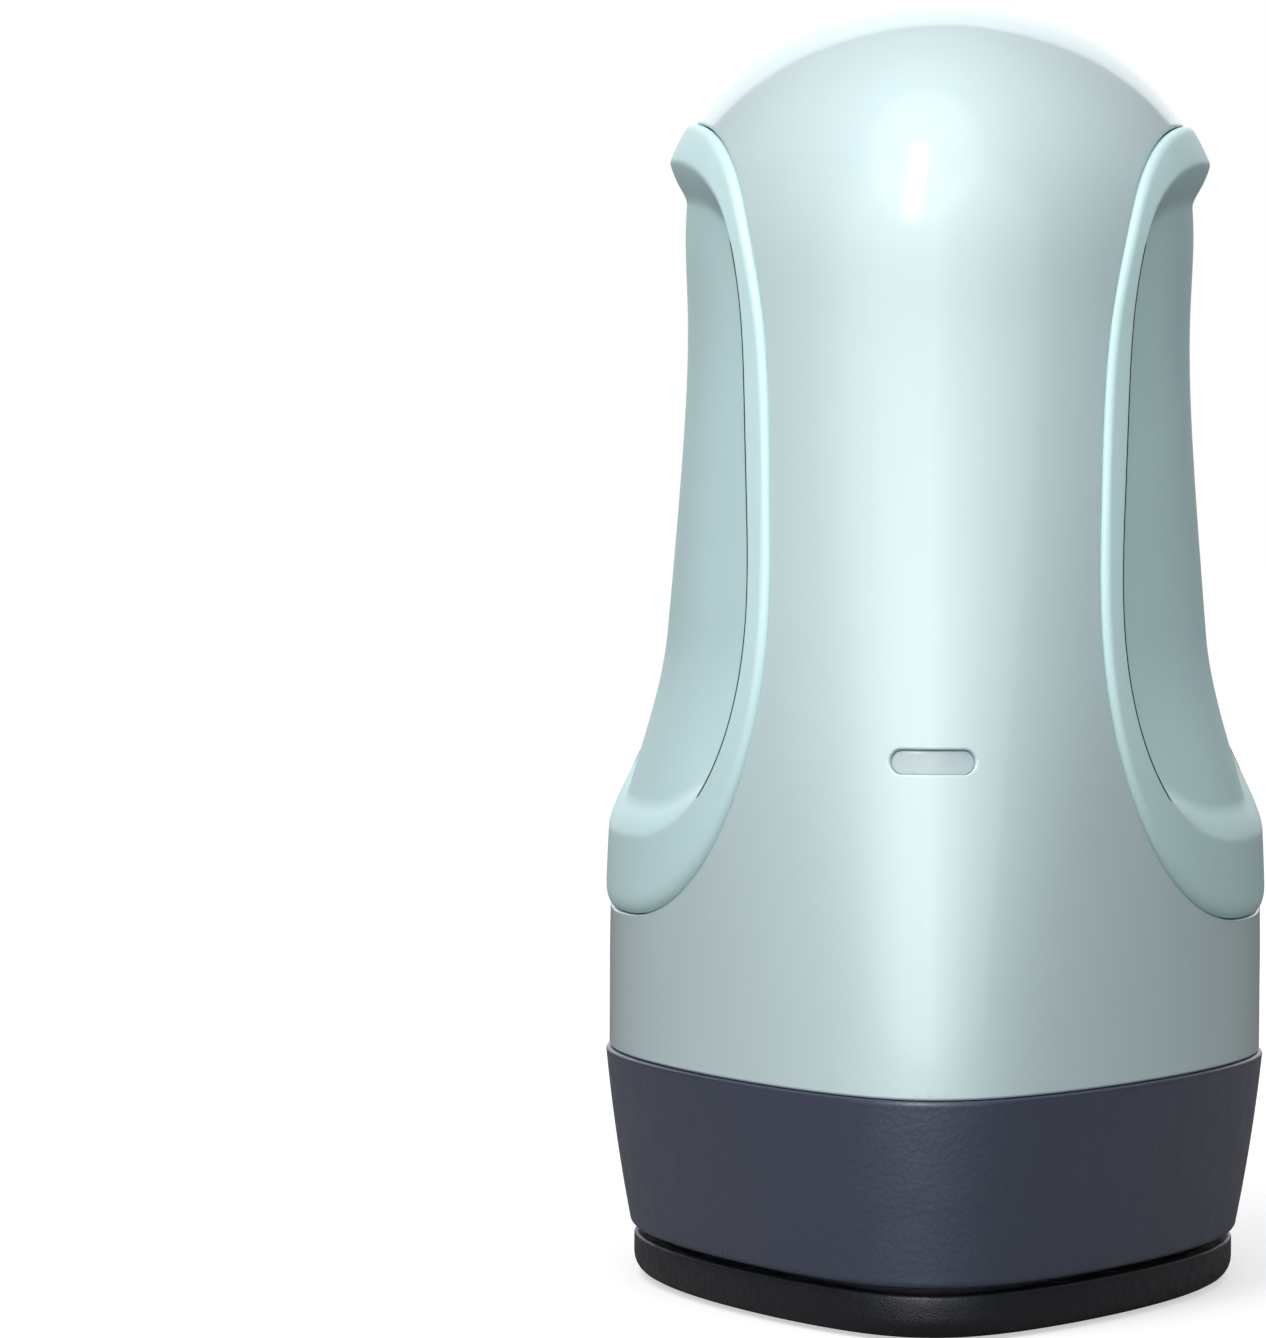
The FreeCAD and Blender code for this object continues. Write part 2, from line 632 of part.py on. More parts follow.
def probe_clips():
    """A sheet strap over each probe, with a flat foot either side on the plate."""
    clips = []
    for x in (-PROBE_X, PROBE_X):
        centre = V(x, -CLIP_WIDTH / 2, PLATE_TOP_Z + PROBE_RADIUS)
        over = rod(PROBE_RADIUS + CLIP_THICKNESS + HAIR, centre, centre + Y_AXIS * CLIP_WIDTH)
        under = rod(PROBE_RADIUS + HAIR, centre - Y_AXIS, centre + Y_AXIS * (CLIP_WIDTH + 2))
        reach = PROBE_RADIUS + CLIP_FLANGE
        legs = block(
            (x - PROBE_RADIUS - CLIP_THICKNESS - HAIR, -CLIP_WIDTH / 2, PLATE_TOP_Z),
            (x + PROBE_RADIUS + CLIP_THICKNESS + HAIR, CLIP_WIDTH / 2, centre.z),
        )
        feet = block((x - reach, -CLIP_WIDTH / 2, PLATE_TOP_Z), (x + reach, CLIP_WIDTH / 2, PLATE_TOP_Z + CLIP_THICKNESS))
        room = block(
            (x - PROBE_RADIUS - HAIR, -FAR, PLATE_TOP_Z - 1),
            (x + PROBE_RADIUS + HAIR, FAR, centre.z),
        )
        clips.append(joined([over, legs, feet]).cut(under).cut(room))
    return group(clips)


def plate_bushings():
    pieces = []
    for x, y in PLATE_SCREWS:
        low = V(x, y, PLATE_TOP_Z)
        high = V(x, y, LEDGE_Z)
        pieces.append(rod(BUSHING_RADIUS, low, high).cut(rod(SCREW_HOLE, low - Z_AXIS, high + Z_AXIS)))
    return group(pieces)


def plate_screws():
    bite = LEDGE_TOP_Z - PLATE_TOP_Z + PLATE_SCREW_DEPTH - FIT
    return group([screw(V(x, y, LEDGE_TOP_Z), -Z_AXIS, bite) for x, y in PLATE_SCREWS])


# ================================================================ collar and what it carries
def collar():
    rounding = COLLAR_EDGE
    wires = []
    for angle in (0, 30, 60, 90):
        z = COLLAR_Z + rounding * (1 - math.cos(math.radians(angle)))
        inset = collar_inset(z) + rounding * (1 - math.sin(math.radians(angle)))
        wires.append(outline(z, COLLAR_HALF_WIDTH - inset, COLLAR_HALF_LENGTH - inset, 0.0, COLLAR_TOP_Z))
    foot = Part.makeLoft(wires, True, False)
    side = collar_form(0.0, COLLAR_Z + rounding, COLLAR_TOP_Z)
    body = foot.fuse(side)
    body = body.cut(collar_form(COLLAR_WALL, COLLAR_Z - 1, LEDGE_Z))
    body = body.cut(collar_form(COLLAR_STEP_WALL, LEDGE_TOP_Z, STEP_Z + 0.5))
    body = body.cut(collar_form(COLLAR_WALL, STEP_Z, COLLAR_TOP_Z + 1))
    body = body.cut(slab(LEDGE_Z - 1, FAR, LEDGE_HOLE_HALF_WIDTH, LEDGE_HOLE_HALF_LENGTH, LEDGE_HOLE_Y))
    for x, y in PLATE_SCREWS + FRONT_BOSSES + REAR_BOSSES:
        body = body.cut(rod(SCREW_HOLE, V(x, y, LEDGE_Z - 1), V(x, y, LEDGE_TOP_Z + 1)))
    return body


def boss_holes():
    places = FRONT_BOSSES + REAR_BOSSES
    return [rod(BOSS_RADIUS + FIT, V(x, y, 0), V(x, y, FAR)) for x, y in places]


def lead_slot():
    low = (-LEAD_SLOT_HALF_WIDTH, LEAD_SLOT_Y - LEAD_SLOT_WIDTH / 2, 0)
    return block(low, (LEAD_SLOT_HALF_WIDTH, LEAD_SLOT_Y + LEAD_SLOT_WIDTH / 2, FAR))


def floor_sheet(z, thickness):
    """Sheet that drops into the collar and lies on its step."""
    inset = collar_inset(z) + COLLAR_WALL + FIT
    sheet = slab(z, thickness, COLLAR_HALF_WIDTH - inset, COLLAR_HALF_LENGTH - inset)
    return sheet.cut(boss_holes() + [lead_slot()])


def heat_shield():
    return floor_sheet(STEP_Z, SHIELD_THICKNESS)


def deck_plate():
    deck = floor_sheet(DECK_Z, DECK_THICKNESS)
    for x in (-FRAME_SCREW_X, FRAME_SCREW_X):
        deck = deck.cut(rod(BOARD_SCREW_RADIUS + HAIR, V(x, frame_screw_y(), 0), V(x, frame_screw_y(), FAR)))
    return deck


def insulation_pad():
    half_width = LEDGE_HOLE_HALF_WIDTH - FIT
    half_length = LEDGE_HOLE_HALF_LENGTH - FIT
    pad = slab(STEP_Z - PAD_THICKNESS, PAD_THICKNESS, half_width, half_length, LEDGE_HOLE_Y)
    rear = block((-FAR, LEAD_SLOT_Y - LEAD_SLOT_WIDTH / 2, 0), (FAR, FAR, FAR))
    return pad.cut(rear)


def collar_seal():
    outer = slab(COLLAR_TOP_Z, SEAL_GAP, SKIRT_HALF_WIDTH - SEAL_INSET, SKIRT_HALF_LENGTH - SEAL_INSET)
    inner = slab(COLLAR_TOP_Z - 1, FAR, COLLAR_HALF_WIDTH - COLLAR_WALL, COLLAR_HALF_LENGTH - COLLAR_WALL)
    return outer.cut(inner)


# ================================================================ housing
def screw_boss(x, y):
    """Post that stands on the collar's ledge and takes a screw from below."""
    return rod(BOSS_RADIUS, V(x, y, LEDGE_TOP_Z), V(x, y, SHELL_Z + BOSS_RISE))


def boss_rib(x, y, way):
    """Rib from a post out to the wall, above the deck."""
    half = RIB / 2
    reach = V(x, y, 0) + way * FAR
    low = (min(x, reach.x) - half * abs(way.y), min(y, reach.y) - half * abs(way.x), SHELL_Z)
    high = (max(x, reach.x) + half * abs(way.y), max(y, reach.y) + half * abs(way.x), SHELL_Z + BOSS_RISE)
    return block(low, high)


def lens_outline(grow):
    """The indicator's pill shape, as a block along Y through the front wall."""
    half_height = LENS_HEIGHT / 2 + grow
    half_run = LENS_WIDTH / 2 - LENS_HEIGHT / 2
    ends = [rod(half_height, V(x, -FAR, LENS_Z), V(x, FRAME_Y - FAR / 4, LENS_Z)) for x in (-half_run, half_run)]
    bar = block((-half_run, -FAR, LENS_Z - half_height), (half_run, FRAME_Y - FAR / 4, LENS_Z + half_height))
    return joined(ends + [bar])


def nose_y(z):
    return -housing_size(z, 0.0)[1]


def heel_y(z):
    return housing_size(z, 0.0)[1]


def small_board_y():
    """Front face of the indicator board."""
    return nose_y(LENS_Z) + LENS_STUB_LENGTH + LED_GAP + LED_LENGTH


def small_board_bosses():
    return [V(0, small_board_y(), LENS_Z + side * SMALL_BOARD_BOSS_PITCH / 2) for side in (-1, 1)]


def front_posts(wall_line):
    """Bosses and ribs that stand on the inside of the front shell."""
    ribs = [boss_rib(x, y, V(math.copysign(1, x), 0, 0) if x else -Y_AXIS) for x, y in FRONT_BOSSES]
    web_low = (-RIB / 2, TOP_BOSS_START_Y, TOP_SCREW_Z)
    ribs.append(block(web_low, (RIB / 2, SPLIT_Y - FIT, 2 * FAR)))
    small = [rod(SMALL_BOARD_BOSS_RADIUS, V(end.x, -FAR, end.z), end) for end in small_board_bosses()]
    posts = [group(ribs).common(wall_line), group(small).common(housing(-SHELL_WALL / 2))]
    posts += [screw_boss(x, y) for x, y in FRONT_BOSSES]
    return posts + [rod(BOSS_RADIUS, V(0, TOP_BOSS_START_Y, TOP_SCREW_Z), V(0, TOP_BOSS_END_Y, TOP_SCREW_Z))]


def front_holes():
    holes = [rod(SCREW_HOLE, V(x, y, 0), V(x, y, LEDGE_TOP_Z + SHELL_SCREW_BITE)) for x, y in FRONT_BOSSES]
    holes.append(rod(SCREW_HOLE, V(0, TOP_BOSS_END_Y - TOP_SCREW_BITE, TOP_SCREW_Z), V(0, FAR, TOP_SCREW_Z)))
    for end in small_board_bosses():
        holes.append(rod(SMALL_SCREW_RADIUS + HAIR, end - Y_AXIS * small_screw_bite(), end + Y_AXIS))
    return holes + [lens_outline(0.0)]


def front_shell(cores):
    wall_line = housing(-SHELL_WALL, SHELL_Z - 1)
    shell = housing(0.0).common(half_space(True)).cut([wall_line] + cores)
    return joined([shell] + front_posts(wall_line)).cut(front_holes())


def pad_face_y(z, radius):
    """Where a round flat pad on the back of the housing faces."""
    return heel_y(z - radius) + PAD_PROUD


def round_pad(z, radius):
    face = pad_face_y(z, radius)
    return rod(radius, V(0, face - PAD_DEPTH, z), V(0, face, z))


def rear_form(offset, low_z=None):
    """The housing's form with its seam at the nose, out of the rear shell's way."""
    return housing(offset, low_z, False, NOSE)


def rear_tongue():
    """Lip inside the front shell's edge, broken where the grips and the top boss are."""
    inner = rear_form(-SHELL_WALL - HAIR - TONGUE_THICKNESS, SHELL_Z - 1)
    lip = rear_form(-SHELL_WALL - HAIR).cut(inner)
    lip = lip.common(block((-FAR, SPLIT_Y - TONGUE_LENGTH, 0), (FAR, SPLIT_Y + TONGUE_LENGTH, 2 * FAR)))
    root = rear_form(-SHELL_WALL / 2).cut(inner)
    root = root.common(block((-FAR, SPLIT_Y + SPLIT_GAP / 2, 0), (FAR, SPLIT_Y + TONGUE_LENGTH, 2 * FAR)))
    clear = side_prism(LIP_WIDTH + FIT, LIP_WIDTH + FIT)
    return lip.fuse(root).cut([clear, mirrored(clear), top_boss_room()])


def rear_posts(wall_line):
    """Bosses, pads and ribs that stand on the inside of the rear shell."""
    inside = rear_form(-SHELL_WALL / 2)
    posts = [rod(TOP_SCREW_WELL_RADIUS, V(0, TOP_BOSS_END_Y, TOP_SCREW_Z), V(0, FAR, TOP_SCREW_Z))]
    for x in (-CLAMP_BOSS_X, CLAMP_BOSS_X):
        posts.append(rod(CLAMP_BOSS_RADIUS, V(x, CLAMP_FACE_Y, CLAMP_Z), V(x, FAR, CLAMP_Z)))
    rib_low = (-CLAMP_BOSS_X, CLAMP_FACE_Y + CLAMP_RIB_GAP, CLAMP_Z - RIB / 2)
    posts.append(block(rib_low, (CLAMP_BOSS_X, FAR, CLAMP_Z + RIB / 2)))
    ribs = [boss_rib(x, y, Y_AXIS) for x, y in REAR_BOSSES]
    posts = [joined(posts).common(inside), group(ribs).common(wall_line)]
    posts += [screw_boss(x, y) for x, y in REAR_BOSSES]
    return posts + [round_pad(BUTTON_Z, BUTTON_PAD_RADIUS), round_pad(GLAND_Z, GLAND_PAD_RADIUS)]


def rear_holes():
    button_back = pad_face_y(BUTTON_Z, BUTTON_PAD_RADIUS) - PAD_DEPTH
    gland_back = pad_face_y(GLAND_Z, GLAND_PAD_RADIUS) - PAD_DEPTH
    bore = BUTTON_RADIUS + BUTTON_CLEARANCE
    seat = TOP_BOSS_END_Y + TOP_SCREW_WELL_FLOOR
    holes = [rod(SCREW_HOLE, V(x, y, 0), V(x, y, LEDGE_TOP_Z + SHELL_SCREW_BITE)) for x, y in REAR_BOSSES]
    holes += [
        rod(bore, V(0, button_back, BUTTON_Z), V(0, FAR, BUTTON_Z)),
        rod(bore + BUTTON_FLANGE + FIT, V(0, TOP_BOSS_END_Y, BUTTON_Z), V(0, button_back, BUTTON_Z)),
        rod(GLAND_RADIUS, V(0, TOP_BOSS_END_Y, GLAND_Z), V(0, FAR, GLAND_Z)),
        rod(GLAND_RADIUS + GLAND_SNAP + HAIR, V(0, TOP_BOSS_END_Y, GLAND_Z), V(0, gland_back, GLAND_Z)),
        rod(SCREW_HOLE, V(0, SPLIT_Y, TOP_SCREW_Z), V(0, FAR, TOP_SCREW_Z)),
        rod(SCREW_HEAD_RADIUS + FIT, V(0, seat, TOP_SCREW_Z), V(0, FAR, TOP_SCREW_Z)),
    ]
    for x in (-CLAMP_BOSS_X, CLAMP_BOSS_X):
        end = V(x, CLAMP_FACE_Y, CLAMP_Z)
        holes.append(rod(CLAMP_SCREW_RADIUS + HAIR, end - Y_AXIS, end + Y_AXIS * CLAMP_SCREW_BITE))
    return holes


def rear_shell(cores):
    wall_line = rear_form(-SHELL_WALL, SHELL_Z - 1)
    shell = rear_form(0.0).common(half_space(False)).cut([wall_line] + cores)
    shell = joined([shell, rear_tongue()] + rear_posts(wall_line))
    return shell.cut(rear_holes())


def top_boss_room():
    radius = BOSS_RADIUS + FIT
    post = rod(radius, V(0, SPLIT_Y - FAR, TOP_SCREW_Z), V(0, TOP_BOSS_END_Y, TOP_SCREW_Z))
    web = block((-RIB / 2 - FIT, -FAR, TOP_SCREW_Z), (RIB / 2 + FIT, SPLIT_Y, 2 * FAR))
    return post.fuse(web)


def right_grip():
    """Grip on the +X side: a flange flush with the housing round a scooped pan, and a lip behind."""
    mouth = side_prism(-FLANGE_SIDE, -FLANGE_END)
    pan_back = side_prism(GRIP_WALL - FLANGE_SIDE, GRIP_WALL - FLANGE_END)
    scooped = housing(0.0, SHELL_Z, True)
    pan_inside = housing(-GRIP_WALL, SHELL_Z - 1, True)
    flange_inside = housing(LIP_INSIDE, SHELL_Z - 1)
    outside = housing(GRIP_PROUD).cut(mouth.cut(scooped))
    hollow = flange_inside.cut(pan_back.cut(pan_inside))
    grip = outside.common(side_prism(-RIM_GAP, -RIM_GAP)).cut(hollow)
    ring = side_prism(LIP_WIDTH, LIP_WIDTH).cut(side_prism(-LIP_WIDTH, -LIP_WIDTH))
    lip = housing(LIP_OUTSIDE, SHELL_Z).cut(flange_inside).common(ring)
    keep_out = block((-FAR, -FAR, 0), (LIP_KEEP_OUT, FAR, 2 * FAR))
    lip = lip.cut(keep_out)
    middle = block((GRIP_INNER_X, -FAR, 0), (FAR, FAR, 2 * FAR))
    return joined([grip.common(middle), lip])


def shell_screws():
    screws = []
    for x, y in FRONT_BOSSES + REAR_BOSSES:
        screws.append(screw(V(x, y, LEDGE_Z), Z_AXIS, LEDGE_THICKNESS + SHELL_SCREW_BITE - FIT))
    return group(screws)


def top_screw():
    seat = V(0, TOP_BOSS_END_Y + TOP_SCREW_WELL_FLOOR, TOP_SCREW_Z)
    return screw(seat, -Y_AXIS, TOP_SCREW_WELL_FLOOR + TOP_SCREW_BITE - FIT)


# ================================================================ indicator
def indicator_lens():
    """Clear pill in the front wall, with a flange behind and a stub that leads light to it."""
    recessed = housing(-LENS_RECESS)
    wall_inside = housing(-SHELL_WALL - HAIR)
    back = housing(-SHELL_WALL - HAIR - LENS_FLANGE_THICKNESS)
    face = recessed.cut(back).common(lens_outline(-HAIR))
    flange = wall_inside.cut(back).common(lens_outline(LENS_FLANGE))
    stub_end = V(0, nose_y(LENS_Z) + LENS_STUB_LENGTH, LENS_Z)
    stub = rod(LENS_STUB_RADIUS, stub_end - Y_AXIS * LENS_STUB_LENGTH, stub_end).common(wall_inside)
    return joined([face, flange, stub])


def indicator_led():
    back = V(0, small_board_y(), LENS_Z)
    barrel = rod(LED_RADIUS, back, back - Y_AXIS * (LED_LENGTH - LED_RADIUS))
    tip = Part.makeSphere(LED_RADIUS, back - Y_AXIS * (LED_LENGTH - LED_RADIUS))
    return joined([barrel, tip])


def indicator_board():
    half_width = SMALL_BOARD_WIDTH / 2
    half_height = SMALL_BOARD_BOSS_PITCH / 2 + SMALL_BOARD_BOSS_RADIUS + 0.5
    low = (-half_width, small_board_y(), LENS_Z - half_height)
    board = block(low, (half_width, small_board_y() + SMALL_BOARD_THICKNESS, LENS_Z + half_height))
    for end in small_board_bosses():
        board = board.cut(rod(SMALL_SCREW_RADIUS + HAIR, end - Y_AXIS, end + Y_AXIS * (SMALL_BOARD_THICKNESS + 1)))
    return board


def small_screw_bite():
    return LED_LENGTH + LED_GAP


def indicator_screws():
    screws = []
    for end in small_board_bosses():
        head = end + Y_AXIS * SMALL_BOARD_THICKNESS
        bite = SMALL_BOARD_THICKNESS + small_screw_bite() - FIT
        screws.append(screw(head, -Y_AXIS, bite, SMALL_SCREW_RADIUS, SMALL_SCREW_HEAD, SMALL_SCREW_HEAD * 0.8))
    return group(screws)


# ================================================================ back of the housing
def switch_tip_y():
    return BOARD_FACE_Y + SWITCH_BODY + SWITCH_ACTUATOR


def power_button():
    """Round cap with a flange that keeps it in, and a stem that reaches the switch."""
    face = pad_face_y(BUTTON_Z, BUTTON_PAD_RADIUS)
    stop = face - PAD_DEPTH - HAIR
    front = V(0, face + BUTTON_PROUD, BUTTON_Z)
    cap = rod(BUTTON_RADIUS, V(0, stop - BUTTON_FLANGE_THICKNESS / 2, BUTTON_Z), front)
    cap = cap.makeFillet(BUTTON_PROUD / 2, [e for e in cap.Edges if is_end(e, front)])
    dish = rod(BUTTON_DISH_RADIUS, front - Y_AXIS * BUTTON_DISH, front + Y_AXIS)
    flange_radius = BUTTON_RADIUS + BUTTON_CLEARANCE + BUTTON_FLANGE
    flange = rod(flange_radius, V(0, stop - BUTTON_FLANGE_THICKNESS, BUTTON_Z), V(0, stop, BUTTON_Z))
    stem_end = V(0, switch_tip_y() + BUTTON_TRAVEL + SWITCH_GAP, BUTTON_Z)
    stem = rod(BUTTON_STEM_RADIUS, stem_end, V(0, stop, BUTTON_Z))
    return joined([cap, flange, stem]).cut(dish)


def cord_gland():
    face = pad_face_y(GLAND_Z, GLAND_PAD_RADIUS)
    back = face - PAD_DEPTH
    inner_end = V(0, back - GLAND_SNAP_THICKNESS, GLAND_Z)
    outer_end = V(0, face + GLAND_FLANGE_THICKNESS, GLAND_Z)
    barrel = rod(GLAND_RADIUS - HAIR, inner_end, outer_end)
    flange = rod(GLAND_FLANGE_RADIUS, V(0, face, GLAND_Z), outer_end)
    flange = flange.makeFillet(GLAND_FLANGE_THICKNESS / 2, [e for e in flange.Edges if is_end(e, outer_end)])
    snap = rod(GLAND_RADIUS + GLAND_SNAP, inner_end, V(0, back, GLAND_Z))
    return joined([barrel, flange, snap]).cut(rod(GLAND_BORE_RADIUS, inner_end - Y_AXIS, outer_end + Y_AXIS))


def cord_clamp():
    half_width = CLAMP_BOSS_X + CLAMP_BOSS_RADIUS
    half_height = CLAMP_HEIGHT / 2
    low = (-half_width, CLAMP_FACE_Y - CLAMP_THICKNESS, CLAMP_Z - half_height)
    bar = block(low, (half_width, CLAMP_FACE_Y, CLAMP_Z + half_height))
    notch = rod(CLAMP_NOTCH_RADIUS, V(0, CLAMP_FACE_Y, CLAMP_Z - FAR), V(0, CLAMP_FACE_Y, CLAMP_Z + FAR))
    holes = []
    for x in (-CLAMP_BOSS_X, CLAMP_BOSS_X):
        holes.append(rod(CLAMP_SCREW_RADIUS + HAIR, V(x, 0, CLAMP_Z), V(x, FAR, CLAMP_Z)))
    return bar.cut([notch] + holes)


def clamp_screws():
    bite = CLAMP_THICKNESS + CLAMP_SCREW_BITE - FIT
    head = CLAMP_FACE_Y - CLAMP_THICKNESS
    places = [V(x, head, CLAMP_Z) for x in (-CLAMP_BOSS_X, CLAMP_BOSS_X)]
    return group([screw(p, Y_AXIS, bite, CLAMP_SCREW_RADIUS, SCREW_HEAD_RADIUS * 0.8, 1.4) for p in places])


# ================================================================ electronics
def frame_screw_y():
    return FRAME_Y - FRAME_FOOT / 2


def board_hole_places():
    x = BOARD_HALF_WIDTH - BOARD_HOLE_INSET
    return [(side * x, z) for side in (-1, 1) for z in (BOARD_Z + BOARD_HOLE_INSET, BOARD_TOP_Z - BOARD_HOLE_INSET)]


def board_frame():
    """Upright that stands on the deck and carries the control board on its back."""
    top = DECK_TOP_Z + FRAME_HEIGHT
    upright = block((-FRAME_HALF_WIDTH, FRAME_Y, DECK_TOP_Z), (FRAME_HALF_WIDTH, FRAME_Y + FRAME_THICKNESS, top))
    foot_low = (-FRAME_HALF_WIDTH, FRAME_Y - FRAME_FOOT, DECK_TOP_Z)
    foot = block(foot_low, (FRAME_HALF_WIDTH, FRAME_Y, DECK_TOP_Z + FRAME_THICKNESS))
    window = block(
        (-FRAME_HALF_WIDTH / 2, 0, DECK_TOP_Z + 2 * FRAME_FOOT),
        (FRAME_HALF_WIDTH / 2, FAR, top - FRAME_FOOT),
    )
    posts = [rod(STANDOFF_RADIUS, V(x, STANDOFF_Y, z), V(x, BOARD_Y, z)) for x, z in board_hole_places()]
    body = joined([upright.cut(window), foot] + posts)
    holes = []
    for x, z in board_hole_places():
        holes.append(rod(BOARD_SCREW_RADIUS + HAIR, V(x, BOARD_Y - BOARD_SCREW_BITE, z), V(x, FAR, z)))
    for x in (-FRAME_SCREW_X, FRAME_SCREW_X):
        holes.append(rod(BOARD_SCREW_RADIUS + HAIR, V(x, frame_screw_y(), 0), V(x, frame_screw_y(), FAR)))
    return body.cut(holes)


def frame_screws():
    places = [V(x, frame_screw_y(), DECK_TOP_Z + FRAME_THICKNESS) for x in (-FRAME_SCREW_X, FRAME_SCREW_X)]
    bite = FRAME_THICKNESS + DECK_THICKNESS - HAIR
    return group([screw(p, -Z_AXIS, bite, BOARD_SCREW_RADIUS, SCREW_HEAD_RADIUS * 0.8, 1.4) for p in places])


def control_board():
    board = block((-BOARD_HALF_WIDTH, BOARD_Y, BOARD_Z), (BOARD_HALF_WIDTH, BOARD_FACE_Y, BOARD_TOP_Z))
    holes = [rod(BOARD_SCREW_RADIUS + HAIR, V(x, 0, z), V(x, FAR, z)) for x, z in board_hole_places()]
    return board.cut(holes)


def board_screws():
    bite = BOARD_THICKNESS + BOARD_SCREW_BITE - FIT
    places = [V(x, BOARD_FACE_Y, z) for x, z in board_hole_places()]
    return group([screw(p, -Y_AXIS, bite, BOARD_SCREW_RADIUS, SCREW_HEAD_RADIUS * 0.8, 1.4) for p in places])


def on_board(x, z, width, height, tall):
    """Block on the board's rear face, centred on x and z, where z counts from the board's lower edge."""
    low = (x - width / 2, BOARD_FACE_Y, BOARD_Z + z - height / 2)
    return block(low, (x + width / 2, BOARD_FACE_Y + tall, BOARD_Z + z + height / 2))


def power_switch():
    half = SWITCH_SIZE / 2
    low = (-half, BOARD_FACE_Y, BUTTON_Z - half)
    body = block(low, (half, BOARD_FACE_Y + SWITCH_BODY, BUTTON_Z + half))
    tip = V(0, switch_tip_y(), BUTTON_Z)
    return joined([body, rod(SWITCH_ACTUATOR_RADIUS, tip - Y_AXIS * SWITCH_ACTUATOR, tip)])


def relay():
    case = on_board(-RELAY_X, RELAY_Z, RELAY_WIDTH, RELAY_HEIGHT, RELAY_DEPTH)
    return case.makeFillet(COMPONENT_EDGE, case.Edges)


def supply_capacitor():
    base = V(CAPACITOR_X, BOARD_FACE_Y, BOARD_Z + CAPACITOR_Z)
    can = rod(CAPACITOR_RADIUS, base, base + Y_AXIS * RELAY_DEPTH)
    return can.makeFillet(COMPONENT_EDGE, [e for e in can.Edges if e.Curve.TypeId == "Part::GeomCircle"])


def film_capacitor():
    case = on_board(CAPACITOR_X, FILM_Z, FILM_WIDTH, FILM_HEIGHT, FILM_DEPTH)
    return case.makeFillet(COMPONENT_EDGE, case.Edges)


def controller_chip():
    return on_board(0.0, CHIP_Z, CHIP_SIZE, CHIP_SIZE, CHIP_THICKNESS)


def terminal_block():
    """Two-way block: the wires go in from above, and the clamping screws face the back."""
    body = on_board(TERMINAL_X, TERMINAL_Z, TERMINAL_WIDTH, TERMINAL_HEIGHT, TERMINAL_DEPTH)
    mouths = []
    for side in (-1, 1):
        x = TERMINAL_X + side * TERMINAL_WIDTH / 4
        centre = V(x, BOARD_FACE_Y + TERMINAL_DEPTH * 0.4, BOARD_Z + TERMINAL_Z)
        mouths.append(rod(TERMINAL_MOUTH, centre, centre + Z_AXIS * TERMINAL_HEIGHT))
        mouths.append(rod(TERMINAL_MOUTH, centre + Y_AXIS * TERMINAL_DEPTH * 0.4, centre + Y_AXIS * TERMINAL_DEPTH))
    return body.cut(mouths)


def fuse_axis_y():
    return BOARD_FACE_Y + FUSE_RADIUS + FIT


def board_fuse():
    low = V(-FUSE_X, fuse_axis_y(), BOARD_Z + FUSE_Z)
    return rod(FUSE_RADIUS, low, low + Z_AXIS * FUSE_LENGTH)


def fuse_clips():
    clips = []
    bore = rod(FUSE_RADIUS, V(-FUSE_X, fuse_axis_y(), 0), V(-FUSE_X, fuse_axis_y(), FAR))
    for z in (FUSE_Z + CLIP_INSET, FUSE_Z + FUSE_LENGTH - CLIP_INSET):
        clip = on_board(-FUSE_X, z, 2 * FUSE_RADIUS + 1.6, FUSE_CLIP_WIDTH, 2 * FUSE_RADIUS)
        clips.append(clip.cut(bore))
    return group(clips)


def lead_connector():
    return on_board(0.0, CONNECTOR_Z, CONNECTOR_WIDTH, CONNECTOR_HEIGHT, CONNECTOR_DEPTH)


def connector_entry(x):
    """Where a lead enters the connector from below."""
    return V(x, BOARD_FACE_Y + CONNECTOR_DEPTH / 2, BOARD_Z + CONNECTOR_Z - CONNECTOR_HEIGHT / 2)


def heater_leads():
    """From each element tab up through the deck to the connector on the board."""
    leads = []
    for side in (-1, 1):
        start = V(side * ELEMENT_BEND, LEAD_SLOT_Y, PLATE_TOP_Z + TAB_THICKNESS / 2)
        rise = V(start.x, start.y, DECK_TOP_Z + HEATER_LEAD_RISE)
        goal = connector_entry(side * HEATER_LEAD_X)
        leads.append(cable([start, rise, goal - Z_AXIS * LEAD_LAST_RUN, goal], LEAD_RADIUS))
    return group(leads)


def sensor_leads():
    """From the probes back along the plate and up to the same connector."""
    leads = []
    for side in (-1, 1):
        start = V(side * PROBE_X, PROBE_LENGTH / 2, PLATE_TOP_Z + PROBE_RADIUS)
        corner = V(start.x, LEAD_SLOT_Y, start.z)
        rise = V(start.x, LEAD_SLOT_Y, DECK_TOP_Z + SENSOR_LEAD_RISE)
        goal = connector_entry(side * SENSOR_LEAD_X)
        points = [start, corner, rise, goal - Z_AXIS * LEAD_LAST_RUN, goal]
        leads.append(cable(points, SENSOR_LEAD_RADIUS))
    return group(leads)


def indicator_leads():
    """From the back of the indicator board through the frame's window to the control board."""
    leads = []
    rear = small_board_y() + SMALL_BOARD_THICKNESS
    drop = (LENS_Z - INDICATOR_LEAD_END_Z) / 2
    for side in (-1, 1):
        start = V(side * INDICATOR_LEAD_X, rear, LENS_Z)
        goal = V(start.x, BOARD_Y, INDICATOR_LEAD_END_Z)
        step = (goal.y - start.y) / 4
        first = V(start.x, start.y + step, LENS_Z)
        sag = V(start.x, start.y + 2 * step, LENS_Z - drop - INDICATOR_LEAD_SAG)
        last = V(start.x, start.y + 3 * step, goal.z)
        leads.append(cable([start, first, sag, last, goal], SENSOR_LEAD_RADIUS))
    return group(leads)


